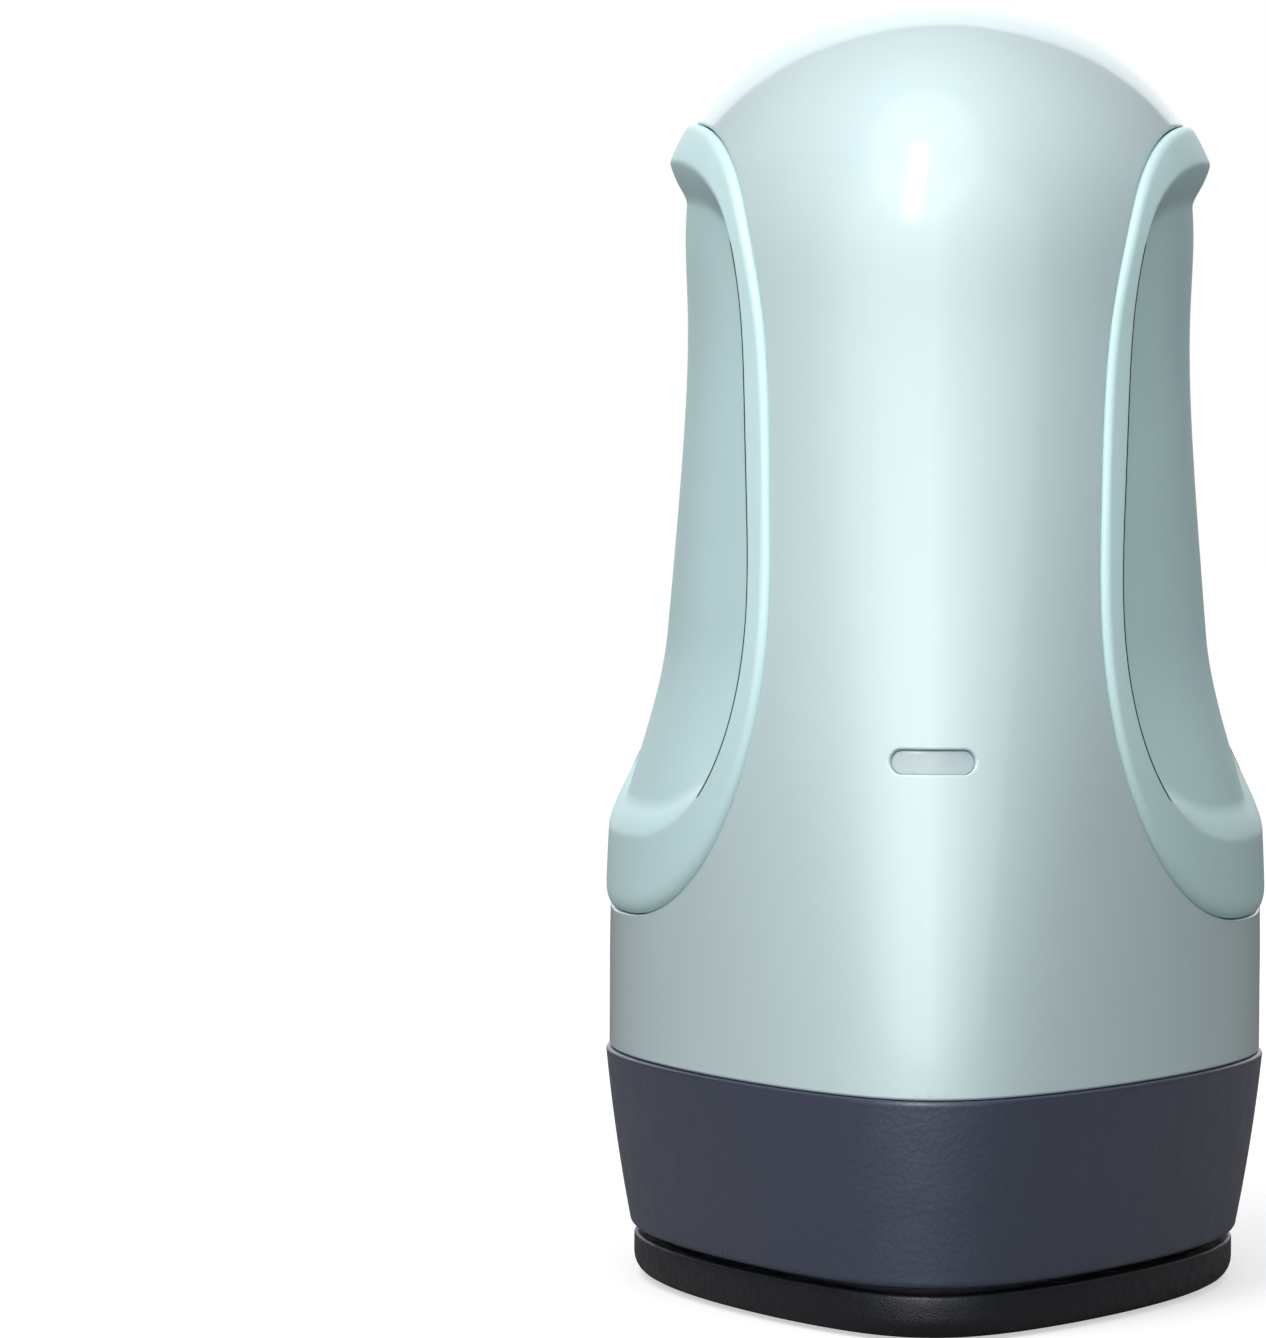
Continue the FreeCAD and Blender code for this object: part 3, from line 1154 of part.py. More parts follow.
# ================================================================ the whole part
def build():
    opening = side_prism(0.0, 0.0)
    cores = [opening, mirrored(opening)]
    grip = right_grip()
    parts = {
        "base_tray": base_tray(),
        "base_liner": base_liner(),
        "base_feet": base_feet(),
        "heat_plate": heat_plate(),
        "heating_element": heating_element(),
        "element_ceramics": element_ceramics(),
        "element_tabs": element_tabs(),
        "temperature_sensor": temperature_sensor(),
        "thermal_fuse": thermal_fuse(),
        "probe_clips": probe_clips(),
        "plate_bushings": plate_bushings(),
        "plate_screws": plate_screws(),
        "collar": collar(),
        "insulation_pad": insulation_pad(),
        "heat_shield": heat_shield(),
        "deck_plate": deck_plate(),
        "collar_seal": collar_seal(),
        "front_shell": front_shell(cores),
        "rear_shell": rear_shell(cores),
        "right_grip": grip,
        "left_grip": mirrored(grip),
        "shell_screws": shell_screws(),
        "top_screw": top_screw(),
        "indicator_lens": indicator_lens(),
        "indicator_led": indicator_led(),
        "indicator_board": indicator_board(),
        "indicator_screws": indicator_screws(),
        "power_button": power_button(),
        "cord_gland": cord_gland(),
        "cord_clamp": cord_clamp(),
        "clamp_screws": clamp_screws(),
        "board_frame": board_frame(),
        "frame_screws": frame_screws(),
        "control_board": control_board(),
        "board_screws": board_screws(),
        "power_switch": power_switch(),
        "relay": relay(),
        "supply_capacitor": supply_capacitor(),
        "film_capacitor": film_capacitor(),
        "controller_chip": controller_chip(),
        "terminal_block": terminal_block(),
        "board_fuse": board_fuse(),
        "fuse_clips": fuse_clips(),
        "lead_connector": lead_connector(),
        "heater_leads": heater_leads(),
        "sensor_leads": sensor_leads(),
        "indicator_leads": indicator_leads(),
    }
    os.makedirs("parts", exist_ok=True)
    for name, shape in parts.items():
        print(name, len(shape.Solids), "valid" if shape.isValid() else "NOT VALID", round(shape.Volume, 1))
        shape.exportStep(f"parts/{name}.step")


build()
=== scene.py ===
"""Mini handheld heat press: its outer pieces, finishes, light and camera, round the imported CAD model."""
import json
import math

import bmesh
import bpy
import numpy as np
from mathutils import Matrix, Vector

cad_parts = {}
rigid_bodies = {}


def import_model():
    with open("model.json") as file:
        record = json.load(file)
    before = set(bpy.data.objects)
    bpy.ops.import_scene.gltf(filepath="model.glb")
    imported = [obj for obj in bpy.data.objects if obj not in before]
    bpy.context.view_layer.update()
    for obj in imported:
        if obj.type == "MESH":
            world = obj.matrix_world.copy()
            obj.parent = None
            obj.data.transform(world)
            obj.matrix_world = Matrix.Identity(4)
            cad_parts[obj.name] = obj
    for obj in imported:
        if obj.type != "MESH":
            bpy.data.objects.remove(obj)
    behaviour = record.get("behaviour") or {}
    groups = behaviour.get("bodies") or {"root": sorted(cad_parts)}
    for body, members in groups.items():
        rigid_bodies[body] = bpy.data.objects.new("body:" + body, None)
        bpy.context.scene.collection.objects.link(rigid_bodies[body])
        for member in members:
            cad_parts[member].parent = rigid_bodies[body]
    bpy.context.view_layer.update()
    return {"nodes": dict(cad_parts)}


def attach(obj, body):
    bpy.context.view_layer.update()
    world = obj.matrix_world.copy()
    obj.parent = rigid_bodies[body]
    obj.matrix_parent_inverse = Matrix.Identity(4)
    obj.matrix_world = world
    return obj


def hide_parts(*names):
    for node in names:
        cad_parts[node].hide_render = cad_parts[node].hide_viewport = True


for thing in list(bpy.data.objects):
    bpy.data.objects.remove(thing)
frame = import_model()

# ------------------------------------------------------------------ shape values, in millimetres
# plan outlines, low at the collar and high at the dome. A half is a half-width and a half-length.
NOSE_LOW, NOSE_HIGH = 0.55, 0.80  # how blunt the nose is
HEEL_LOW, HEEL_HIGH = 0.80, 0.38  # how much the outline gains towards its heel
HEEL_ROUNDING = 0.12
RING_POINTS = 720

# stand
TRAY_HALF = (29.5, 47.0)
TRAY_LOW, TRAY_TOP = 0.35, 4.35
TRAY_RIM = 1.6
TRAY_FOOT_RISE = 1.9
LINER_LOW = 2.7

# collar, and the ledge inside it
COLLAR_HALF = (32.45, 50.0)
COLLAR_LOW, COLLAR_TOP = 5.0, 22.5
COLLAR_WALL = 2.4
COLLAR_FOOT_RADIUS = 0.8
COLLAR_TAPER, COLLAR_BEND = 0.10, 0.003
LEDGE_LOW, LEDGE_TOP = 13.05, 15.05
LEDGE_HOLE_HALF, LEDGE_HOLE_Y = (17.0, 33.0), 5.0

# housing
SKIRT_BOTTOM, SKIRT_TOP = 22.8, 31.0
SKIRT_HALF = (32.1, 49.65)
SPRING = 100.0  # the height at which the dome begins
DOME_HALF = (28.0, 38.0)
DOME_RISE = 24.98
DOME_FULLNESS = 0.15
SOFT_REACH, SOFT_BEND, SOFT_FADE = 5.5, 0.045, 12.0  # the soft start of the dome's curve
POLE = SPRING + DOME_RISE * math.pi / 2
SPLIT_Y, SPLIT_HALF_GAP = 12.0, 0.04  # the joint between the shells
SHELL_EDGE = 2.2  # how deep the shells' edges are turned in
SHELL_ROWS = (70, 190, 120)  # beside the middle line above and below the shoulder, and beside the lower edge
SHELL_COLUMNS = 45
SHOULDER_Z = 108
CRISP_SHARE = 0.94  # how close to the joint the shells' last row but one lies
# the shells' skin beside a grip's rim: distance from the rim, and height above the housing's form
RIM_STEPS = (
    (0, -SHELL_EDGE), (0, -0.25), (0.03, -0.13), (0.12, -0.035), (0.25, 0), (0.6, 0), (1.2, 0), (2.0, 0)
)
SPLIT_EDGE = (0.0, 0.04, 0.12, SHELL_EDGE)  # depths of the edge at the joint
# the lower edge: depth inwards, and height above it
SKIRT_EDGE = ((0.0, 0.0), (0.04, -0.1), (0.15, -0.2), (0.3, -0.24), (SHELL_EDGE, -0.24))

# grips, in y and z
RIM_CENTRE = (2.1, 74.8)
RIM_HALF = (32.9, 38.4)
RIM_POWERS = (3.4, 2.8, 2.7)  # how square the rim is at the front's top, the front's foot and the rear
RIM_LEAN, RIM_TOP_LEAN = 0.032, 3.2  # backwards with height, and at the very top
RIM_SWAY = 1.3  # of the front, in an S
MOUTH_INSET = (2.7, 3.7, 7.4)  # from the rim, at the sides, the top and the foot
MOUTH_POWERS = (4.0, 3.3, 2.8)
GRIP_GAP = 0.12  # between the shells' rim and the grip
GRIP_EDGE = 2.6  # how deep the grip's edge is turned in
FLANGE_HEIGHT, FLANGE_DROP = 0.5, 0.75
FLANGE_EDGE, FLANGE_FOOT_EDGE = 0.9, 0.8  # width of the flange's rounding, and what the foot adds to it
SCOOP_DEPTH, SCOOP_FROM, SCOOP_OVER = 3.8, 38.0, 26.0  # depth, where it begins and over what height it deepens
FADE_DEPTH, FADE_FROM, FADE_OVER, FADE_MOST = 1.3, 80.6, 25, 2.4  # how it gets shallower at the top
MOUTH_LIP, MOUTH_HEEL = 0.6, 0.5  # radii at the mouth's sides, where the fall is steep
SOFT_TOP_RUN, SOFT_FOOT_RUN = 4.2, 4.0  # length of the fall at the top and the foot, where it is gentle
SOFT_FROM, SOFT_OVER = 0.58, 0.34  # where it turns gentle, as shares of the rim's half-height
FALL_STEPS, FLANGE_STEPS, FLOOR_STEPS = 12, 12, 64
# painted shade: a dark bead along the mouth's inner edge. Distance outwards from the mouth, and depth below the flange
PAINTED_SHADE_BEAD = ((0.05, 0.3), (0.05, -0.01), (0.0, -0.025), (-0.12, -0.02), (-0.16, 0.03), (-0.16, 0.3))
PAINTED_SHADE_SINK = 0.08  # how much deeper it lies at the top and the foot

# indicator window
LENS_Z = 53.4
LENS_HALF_RUN, LENS_RADIUS = 2.9, 1.15  # of its straight part, and of its ends
LENS_SUNK = 0.4

# the back: height, y of the face, radii of the pad and of its bore, and depth of the bore
BUTTON_Z, BUTTON_FACE, BUTTON_PAD, BUTTON_BORE, BUTTON_DEPTH = 75.0, 42.866, 8.0, 5.6, 5.9
GLAND_Z, GLAND_FACE, GLAND_PAD, GLAND_BORE, GLAND_DEPTH = 96.0, 39.117, 8.5, 6.2, 0.5
TOP_SCREW_Z, TOP_SCREW_RADIUS, TOP_SCREW_FLOOR = 111.2, 2.8, 26.6

# openings: how far down, up and sideways the skin is meshed anew round each
LENS_BLOCK, BUTTON_BLOCK = (8.6, 3.0, 8.5), (9.6, 9.6, 12.0)
GLAND_BLOCK, TOP_SCREW_BLOCK = (10.0, 10.0, 12.0), (4.1, 4.1, 4.6)
LENS_CORNERS, BACK_CORNERS = (0.36, 0.64), (0.3, 0.7)  # turns of the opening that a block's corners meet
BLOCK_STEPS, BLOCK_GROWTH = 15, 1.2
EDGE_EASE = 0.3  # from an opening's edge to where the skin is plain again
NEAR_MIDDLE = 1.3  # the span of u from the middle line that holds all openings

ACROSS = np.array([-1.0, 1.0, 1.0])
ROUNDING = np.radians([15, 30, 45, 60, 75, 90])


def ease(share):
    share = np.clip(share, 0.0, 1.0)
    return share * share * (3 - 2 * share)


def mix(a, b, share):
    return a + (b - a) * share


def plan_share(u, high):
    """Half-width of a plan outline at angle u, before it is scaled. u is 0 at the nose and pi at the heel."""
    s = (1 - np.cos(u)) / 2
    nose = mix(NOSE_LOW, NOSE_HIGH, high)
    heel = mix(HEEL_LOW, HEEL_HIGH, high)
    return np.sin(u) * (nose + heel * s - HEEL_ROUNDING * s**4)


HIGH_STEPS = np.linspace(0, 1, 301)
WIDEST_STEPS = np.array([plan_share(np.linspace(0, math.pi, 721), h).max() for h in HIGH_STEPS])


def plan(u, half_width, half_length, high, middle_y=0.0):
    """x and y of a plan outline."""
    widest = np.interp(high, HIGH_STEPS, WIDEST_STEPS)
    return half_width * plan_share(u, high) / widest, middle_y - half_length * np.cos(u)


def height_of(v):
    """The height that v stands for. v is the height up to the dome's spring line, and runs along the dome above it."""
    return np.where(v < SPRING, v, SPRING + DOME_RISE * np.sin((v - SPRING) / DOME_RISE))


def v_of(z):
    dome = np.arcsin(np.clip((z - SPRING) / DOME_RISE, 0, 1)) * DOME_RISE
    return np.where(z < SPRING, z, SPRING + dome)


def settle(z):
    """Share of the half-widths that is left where the dome's curve begins softly, over SOFT_REACH each way."""
    rise = np.clip(z - SPRING, -SOFT_REACH, SOFT_REACH)
    low = np.minimum(rise, 0) + SOFT_REACH
    high = np.maximum(rise, 0)
    drop = low**3 / (12 * SOFT_REACH) + SOFT_REACH * high / 4 - (high**2 / 4 - high**3 / (12 * SOFT_REACH))
    return 1 - SOFT_BEND * drop * (1 - ease((z - SPRING - SOFT_REACH) / SOFT_FADE)) / DOME_HALF[0]


def dome_fullness(turn):
    """How much fuller than an ellipse the dome is. turn is 0 at its start and a right angle at the pole."""
    return 1 + DOME_FULLNESS * np.sin(turn) ** 6


def body_halves(v):
    """Half-width and half-length of the housing's form."""
    z = height_of(v)
    turn = np.maximum(v - SPRING, 0) / DOME_RISE
    shrink = np.cos(turn) * dome_fullness(turn) * settle(z)
    wide = ease((SPRING - z) / (SPRING - SKIRT_TOP))
    long = ease((SPRING - z) / (SPRING - SKIRT_BOTTOM))
    return mix(DOME_HALF[0], SKIRT_HALF[0], wide) * shrink, mix(DOME_HALF[1], SKIRT_HALF[1], long) * shrink


def body(u, v):
    """Points on the housing's outer form."""
    half_width, half_length = body_halves(v)
    z = height_of(v)
    x, y = plan(u, half_width, half_length, ease((z - COLLAR_TOP) / (SPRING - COLLAR_TOP)))
    return np.stack(np.broadcast_arrays(x, y, z), axis=-1)


def body_normal(u, v):
    """The form's outward direction."""
    v = np.minimum(v, POLE - 0.02)
    along = body(u + 1e-3, v) - body(u - 1e-3, v)
    up = body(u, v + 1e-2) - body(u, v - 1e-2)
    normal = np.cross(along, up)
    return normal / np.maximum(np.linalg.norm(normal, axis=-1, keepdims=True), 1e-12)


def skin(u, v, height):
    """Points at a height above the housing's form, measured square to it."""
    return body(u, v) + body_normal(u, v) * np.asarray(height)[..., None]


def solve(least, most, is_short, rounds):
    """Halves the span between least and most until it holds the place where is_short turns false."""
    for _ in range(rounds):
        middle = (least + most) / 2
        short = is_short(middle)
        least, most = np.where(short, middle, least), np.where(short, most, middle)
    return most


def locate(points):
    """u and v of the places on the housing that lie behind or in front of points with x of at least 0."""
    x, y, z = np.moveaxis(points, -1, 0)
    low = z < SPRING
    shape_v = np.where(low, z, SPRING)
    turn = np.arctan2(np.abs(x), -y)

    def is_short(u):
        there = body(u, shape_v)
        return np.arctan2(there[..., 0], -there[..., 1]) < turn

    u = solve(np.zeros_like(x), np.full_like(x, math.pi), is_short, 36)
    there = body(u, shape_v)
    reach = np.hypot(there[..., 0], there[..., 1])
    rise = np.zeros_like(x)
    for _ in range(12):
        fuller = dome_fullness(rise) * settle(SPRING + DOME_RISE * np.sin(rise))
        fuller = fuller / settle(np.array(SPRING))
        rise = np.arctan2(np.maximum(z - SPRING, 0) / DOME_RISE * fuller, np.hypot(x, y) / reach)
    return u, np.where(low, z, SPRING + DOME_RISE * rise)


def u_at(y, v):
    """u of the place with the given y, on the right side."""
    return np.arccos(np.clip(-y / body_halves(v)[1], -1, 1))


def oval(turn, inset=(0.0, 0.0, 0.0), powers=RIM_POWERS):
    """y and z of the grip's edge, drawn inwards by inset at its sides, top and foot. powers gives how square it is at
    the front's top, at the front's foot and at the rear."""
    side, top, foot = inset
    power = np.where(np.cos(turn) > 0, powers[2], np.where(np.sin(turn) > 0, powers[0], powers[1]))
    across = np.sign(np.cos(turn)) * np.abs(np.cos(turn)) ** (2 / power)
    up = np.sign(np.sin(turn)) * np.abs(np.sin(turn)) ** (2 / power)
    half_height = RIM_HALF[1] - (top + foot) / 2
    lean = RIM_LEAN * half_height * up + RIM_TOP_LEAN * np.maximum(up, 0) ** 8
    lean = lean + RIM_SWAY * np.sin(math.pi * up) * (1 - across) / 2
    middle = RIM_CENTRE[1] + (foot - top) / 2
    return RIM_CENTRE[0] + (RIM_HALF[0] - side) * across + lean, middle + half_height * up


def on_body(y, z, height=0.0):
    """Points of the housing's right side with the given y and z."""
    v = v_of(z)
    return skin(u_at(y, v), v, height)


def rim_point(turn, inset=(0.0, 0.0, 0.0)):
    """Points on the grip's edge."""
    return on_body(*oval(turn, inset))


def length_along(points):
    """Length of the line up to each of its points."""
    return np.concatenate([[0], np.cumsum(np.linalg.norm(np.diff(points, axis=0), axis=-1))])


def even(points_of, start, stop, count):
    """Parameters between start and stop that are evenly spaced along the curve."""
    steps = np.linspace(start, stop, 6000)
    run = length_along(points_of(steps))
    return np.interp(np.linspace(0, run[-1], count), run, steps)


def resample(points, count):
    """The same line with evenly spaced points."""
    run = length_along(points)
    where = np.linspace(0, run[-1], count)
    return np.stack([np.interp(where, run, points[:, k]) for k in range(points.shape[1])], axis=-1)


# ------------------------------------------------------------------ mesh building
class Sheets:
    """Collects grids of points, in millimetres, and makes one object of them."""

    def __init__(self):
        self.points, self.faces, self.count = [], [], 0

    def add(self, grid, closed=False, keep=None, flip=False):
        rows, columns = grid.shape[:2]
        index = self.count + np.arange(rows * columns).reshape(rows, columns)
        if closed:
            index = np.concatenate([index, index[:, :1]], axis=1)
        corners = [index[:-1, :-1], index[1:, :-1], index[1:, 1:], index[:-1, 1:]]
        quads = np.stack(corners[::-1] if flip else corners, axis=-1).reshape(-1, 4)
        if keep is not None:
            quads = quads[keep.reshape(-1)]
        self.points.append(grid.reshape(-1, 3))
        self.faces.append(quads)
        self.count += rows * columns

    def reflect(self):
        """Moves everything to the other side of the middle plane."""
        self.points = [p * ACROSS for p in self.points]
        self.faces = [f[:, ::-1] for f in self.faces]

    def mirror(self):
        """Adds the same again on the other side of the middle plane."""
        points, faces = self.points, self.faces
        self.reflect()
        self.points = points + self.points
        self.faces = faces + [f + self.count for f in self.faces]
        self.count *= 2

    def make(self, name):
        mesh = bpy.data.meshes.new(name)
        points = np.concatenate(self.points) * 0.001
        mesh.from_pydata(points.tolist(), [], np.concatenate(self.faces).tolist())
        work = bmesh.new()
        work.from_mesh(mesh)
        bmesh.ops.remove_doubles(work, verts=work.verts, dist=2e-6)
        bmesh.ops.dissolve_degenerate(work, edges=work.edges, dist=1e-7)
        work.to_mesh(mesh)
        work.free()
        mesh.shade_smooth()
        piece = bpy.data.objects.new(name, mesh)
        bpy.context.collection.objects.link(piece)
        return piece


# ------------------------------------------------------------------ housing
def turn_at(y, first, last, falls):
    """Where the rim reaches y between two turns. falls says that its y falls there."""
    turns = np.linspace(first * math.pi, last * math.pi, 4000)
    there = oval(turns)[0]
    return np.interp(-y, -there, turns) if falls else np.interp(y, there, turns)


def shell_outline(front, split, counts):
    """The outer edge of one half of a shell: over the dome, down the middle line and along the lower edge."""
    far_u = 0.0 if front else math.pi
    dome_steps = np.linspace(SPRING, POLE, 4000)
    dome_v = float(np.interp(-split, -body_halves(dome_steps)[1], dome_steps))
    middle = body(np.full(400, far_u), np.linspace(POLE if front else dome_v, SKIRT_BOTTOM, 400))
    if front:
        # the joint lies behind the pole, so this shell's middle line begins on the back
        middle = np.concatenate([body(np.full(120, math.pi), np.linspace(dome_v, POLE, 120)), middle])
    other_side = middle[:, 1] > 0 if front else middle[:, 1] < 0
    shoulder = int(np.argmin(np.abs(middle[:, 2] - SHOULDER_Z) + np.where(other_side, 99, 0)))
    low_u = float(u_at(split, np.array(SKIRT_BOTTOM)))
    edge = body(np.linspace(far_u, low_u, 300), np.full(300, SKIRT_BOTTOM))
    runs = [resample(run, count) for run, count in zip((middle[: shoulder + 1], middle[shoulder:], edge), counts)]
    return np.concatenate([runs[0], runs[1][1:], runs[2][1:]])


def shell_side(front):
    """Outer skin of one half of a shell, x of at least 0, as a grid: rows go round the grip, columns go out from it.
    Gives u, v and the height above the housing's form."""
    split = SPLIT_Y - SPLIT_HALF_GAP * (1 if front else -1)
    top_turn = turn_at(split, 0.35, 0.65, True)
    bottom_turn = turn_at(split, 1.35, 1.65, False)
    if front:
        stops = [top_turn, 0.75 * math.pi, 1.25 * math.pi, bottom_turn]
    else:
        stops = [top_turn, 0.25 * math.pi, -0.25 * math.pi, bottom_turn - 2 * math.pi]
    runs = [even(rim_point, stops[k], stops[k + 1], count) for k, count in enumerate(SHELL_ROWS)]
    inner = np.concatenate([runs[0], runs[1][1:], runs[2][1:]])
    outer = shell_outline(front, split, SHELL_ROWS)
    start = rim_point(inner)
    width = np.linalg.norm(outer - start, axis=-1)
    near, fall = np.transpose(RIM_STEPS)
    far = np.linspace(0, 1, SHELL_COLUMNS + 1)[1:]
    share = np.concatenate(
        [near[None, :] / width[:, None], mix((near[-1] / width)[:, None], 1.0, far[None, :])], axis=1
    )
    chord = mix(start[:, None, :], outer[:, None, :], share[..., None])
    chord[..., 0] = np.maximum(chord[..., 0], 0)
    u, v = locate(chord)
    height = np.zeros_like(u) + np.concatenate([fall, np.zeros(len(far))])[None, :]
    # the rim's own points are known exactly
    y, z = oval(inner)
    for k in (0, 1):
        v[:, k] = v_of(z)
        u[:, k] = u_at(y, v[:, k])
    # rows beside the split follow it
    for row, way in ((0, 1), (-1, -1)):
        off = u_at(np.full(v.shape[1], split), v[row]) - u[row]
        for step in range(12):
            u[row + way * step] += off * (1 - step / 12) ** 2
    # a row close to the split at each end keeps its edge crisp
    for row, last, at in ((1, 0, 1), (-2, -1, -1)):
        rows = [mix(values[row], values[last], CRISP_SHARE) for values in (u, v, height)]
        u, v, height = (np.insert(values, at, line, axis=0) for values, line in zip((u, v, height), rows))
    return u, v, height


def add_edges(sheets, u, v, height, front):
    """Turns a shell's skin in at the joint between the shells and along the lower edge."""
    for row in (0, -1):
        line = skin(u[row], v[row], height[row])
        normal = body_normal(u[row], v[row])
        sheets.add(np.stack([line - normal * depth for depth in SPLIT_EDGE]), flip=(row == 0) != front)
    low_u = np.linspace(0.0 if front else math.pi, float(u[-1, -1]), 240)
    low_v = np.full_like(low_u, SKIRT_BOTTOM)
    rows = []
    for depth, rise in SKIRT_EDGE:
        points = body(low_u, low_v) - body_normal(low_u, low_v) * depth
        points[:, 2] = SKIRT_BOTTOM + rise
        rows.append(points)
    sheets.add(np.stack(rows), flip=not front)


def pill(turns, grow=0.0):
    """x and z of the indicator's outline round its middle. turns runs from the top over +x to the bottom."""
    radius = LENS_RADIUS + grow
    total = 2 * LENS_HALF_RUN + math.pi * radius
    run = turns * total
    x = np.where(run < LENS_HALF_RUN, run, np.where(run > total - LENS_HALF_RUN, total - run, 0))
    angle = np.clip((run - LENS_HALF_RUN) / radius, 0, math.pi)
    on_end = (run >= LENS_HALF_RUN) & (run <= total - LENS_HALF_RUN)
    x = np.where(on_end, LENS_HALF_RUN + radius * np.sin(angle), x)
    z = np.where(on_end, radius * np.cos(angle), np.where(run < LENS_HALF_RUN, radius, -radius))
    return x, z


def circle(turns, radius):
    return radius * np.sin(math.pi * turns), radius * np.cos(math.pi * turns)


def near_middle(x, z, height, front=True):
    """Points of the housing's front or back with the given x and z."""
    v = v_of(z)
    least = np.full_like(x, 0.0 if front else math.pi)
    most = np.full_like(x, NEAR_MIDDLE if front else math.pi - NEAR_MIDDLE)
    return skin(solve(least, most, lambda u: body(u, v)[..., 0] < x, 32), v, height)


def cut_block(grid, keep, low, high, x, front):
    """Takes the block beside the middle line between two heights out of a shell's skin, and gives its border."""
    middle = np.where(grid[:, -1, 1] * (-1 if front else 1) > 0, grid[:, -1, 2], 999)
    first, last = int(np.argmin(np.abs(middle - high))), int(np.argmin(np.abs(middle - low)))
    column = int(np.argmin(np.abs(grid[(first + last) // 2, :, 0] - x)))
    keep[first:last, column:] = False
    sides = grid[first, column:][::-1], grid[first : last + 1, column], grid[last, column:]
    loop = np.concatenate([sides[0][:-1], sides[1], sides[2][1:]])
    run = length_along(loop)
    corners = run[len(sides[0]) - 1], run[len(sides[0]) + len(sides[1]) - 2]
    return loop, run / run[-1], (corners[0] / run[-1], corners[1] / run[-1])


def fill_block(sheets, block, corner_turns, rings, outline, centre_z, front):
    """Fills a cut block with rings that close in on an opening. rings are functions of the turns, outline gives the
    last one's x and z round its middle, and corner_turns are the turns that the block's corners meet."""
    loop, run, corners = block
    turns = np.interp(run, [0, *corners, 1], [0, *corner_turns, 1])
    made = [ring(turns) for ring in rings]
    x, z = outline(turns)
    for share in np.linspace(0, 1, BLOCK_STEPS + 1)[1:-1] ** BLOCK_GROWTH:
        made.append(near_middle(mix(x, loop[:, 0], share), mix(centre_z + z, loop[:, 2], share), 0.0, front))
    made.append(loop)
    sheets.add(np.stack(made), flip=front)


def window_rings():
    """Rings of the window's opening, from inside the wall out to the skin."""

    def ring(grow, height):
        def points(turns):
            x, z = pill(turns, grow)
            return near_middle(x, LENS_Z + z, height)

        return points

    steps = ((0, -SHELL_EDGE), (0, -0.16), (0.03, -0.07), (0.09, -0.015), (0.18, 0), (EDGE_EASE, 0))
    return [ring(*step) for step in steps]


def pad_rings(centre_z, radius, face, bore, floor_y):
    """Rings of a round flat pad on the back, from the bore's floor out to the housing's skin."""

    def flat(r, y):
        def points(turns):
            x, z = circle(turns, r)
            return np.stack([x, np.full_like(x, y), centre_z + z], axis=-1)

        return points

    def wall(r, share, height):
        def points(turns):
            x, z = circle(turns, r)
            foot = near_middle(x, centre_z + z, height, False)
            foot[..., 1] = mix(foot[..., 1], face - 0.16, share)
            return foot

        return points

    rings = [flat(bore, floor_y), flat(bore, face - 0.2), flat(bore + 0.06, face - 0.06), flat(bore + 0.2, face)]
    rings += [flat(r, face) for r in np.linspace(bore + 0.5, radius - 0.5, 4)]
    rings += [flat(radius - 0.22, face - 0.01), flat(radius - 0.07, face - 0.06), flat(radius, face - 0.16)]
    rings += [wall(radius, 0.5, 0.12), wall(radius, 0.0, 0.12), wall(radius + 0.05, 0.0, 0.04)]
    return rings + [wall(radius + 0.15, 0.0, 0.0), wall(radius + EDGE_EASE, 0.0, 0.0)]


def well_rings(centre_z, radius, floor_y):
    """Rings of a plain hole with a rounded edge in the back."""

    def ring(r, height):
        def points(turns):
            x, z = circle(turns, r)
            at = near_middle(x, centre_z + z, height, False)
            at[..., 0], at[..., 2] = x, centre_z + z
            return at

        return points

    def floor_ring(turns):
        x, z = circle(turns, radius)
        return np.stack([x, np.full_like(x, floor_y), centre_z + z], axis=-1)

    steps = ((0, -0.35), (0.05, -0.12), (0.15, -0.03), (EDGE_EASE, 0.0))
    return [floor_ring] + [ring(radius + grow, height) for grow, height in steps]


def shell(name, front, openings):
    """A shell. Each opening has its height, its block and the turns of that block's corners, its rings and the outline
    of the last one."""
    u, v, height = shell_side(front)
    grid = skin(u, v, height)
    keep = np.ones((grid.shape[0] - 1, grid.shape[1] - 1), bool)
    sheets = Sheets()
    for centre_z, (down, up, aside), corner_turns, rings, outline in openings:
        block = cut_block(grid, keep, centre_z - down, centre_z + up, aside, front)
        fill_block(sheets, block, corner_turns, rings, outline, centre_z, front)
    sheets.add(grid, keep=keep, flip=front)
    add_edges(sheets, u, v, height, front)
    sheets.mirror()
    return sheets.make(name)


def front_shell():
    return shell("front_shell_skin", True, [
        (LENS_Z, LENS_BLOCK, LENS_CORNERS, window_rings(), lambda turns: pill(turns, EDGE_EASE)),
    ])


def rear_shell():
    def around(radius):
        return lambda turns: circle(turns, radius + EDGE_EASE)

    button = pad_rings(BUTTON_Z, BUTTON_PAD, BUTTON_FACE, BUTTON_BORE, BUTTON_FACE - BUTTON_DEPTH)
    gland = pad_rings(GLAND_Z, GLAND_PAD, GLAND_FACE, GLAND_BORE, GLAND_FACE - GLAND_DEPTH)
    screw = well_rings(TOP_SCREW_Z, TOP_SCREW_RADIUS, TOP_SCREW_FLOOR)
    return shell("rear_shell_skin", False, [
        (BUTTON_Z, BUTTON_BLOCK, BACK_CORNERS, button, around(BUTTON_PAD)),
        (GLAND_Z, GLAND_BLOCK, BACK_CORNERS, gland, around(GLAND_PAD)),
        (TOP_SCREW_Z, TOP_SCREW_BLOCK, BACK_CORNERS, screw, around(TOP_SCREW_RADIUS)),
    ])


# ------------------------------------------------------------------ grips
def scoop(z):
    """How deep the grip's floor lies below the housing's form."""
    fade = FADE_DEPTH * np.maximum(0, (z - FADE_FROM) / FADE_OVER) ** 3
    return SCOOP_DEPTH * ease((z - SCOOP_FROM) / SCOOP_OVER) - np.minimum(fade, FADE_MOST)


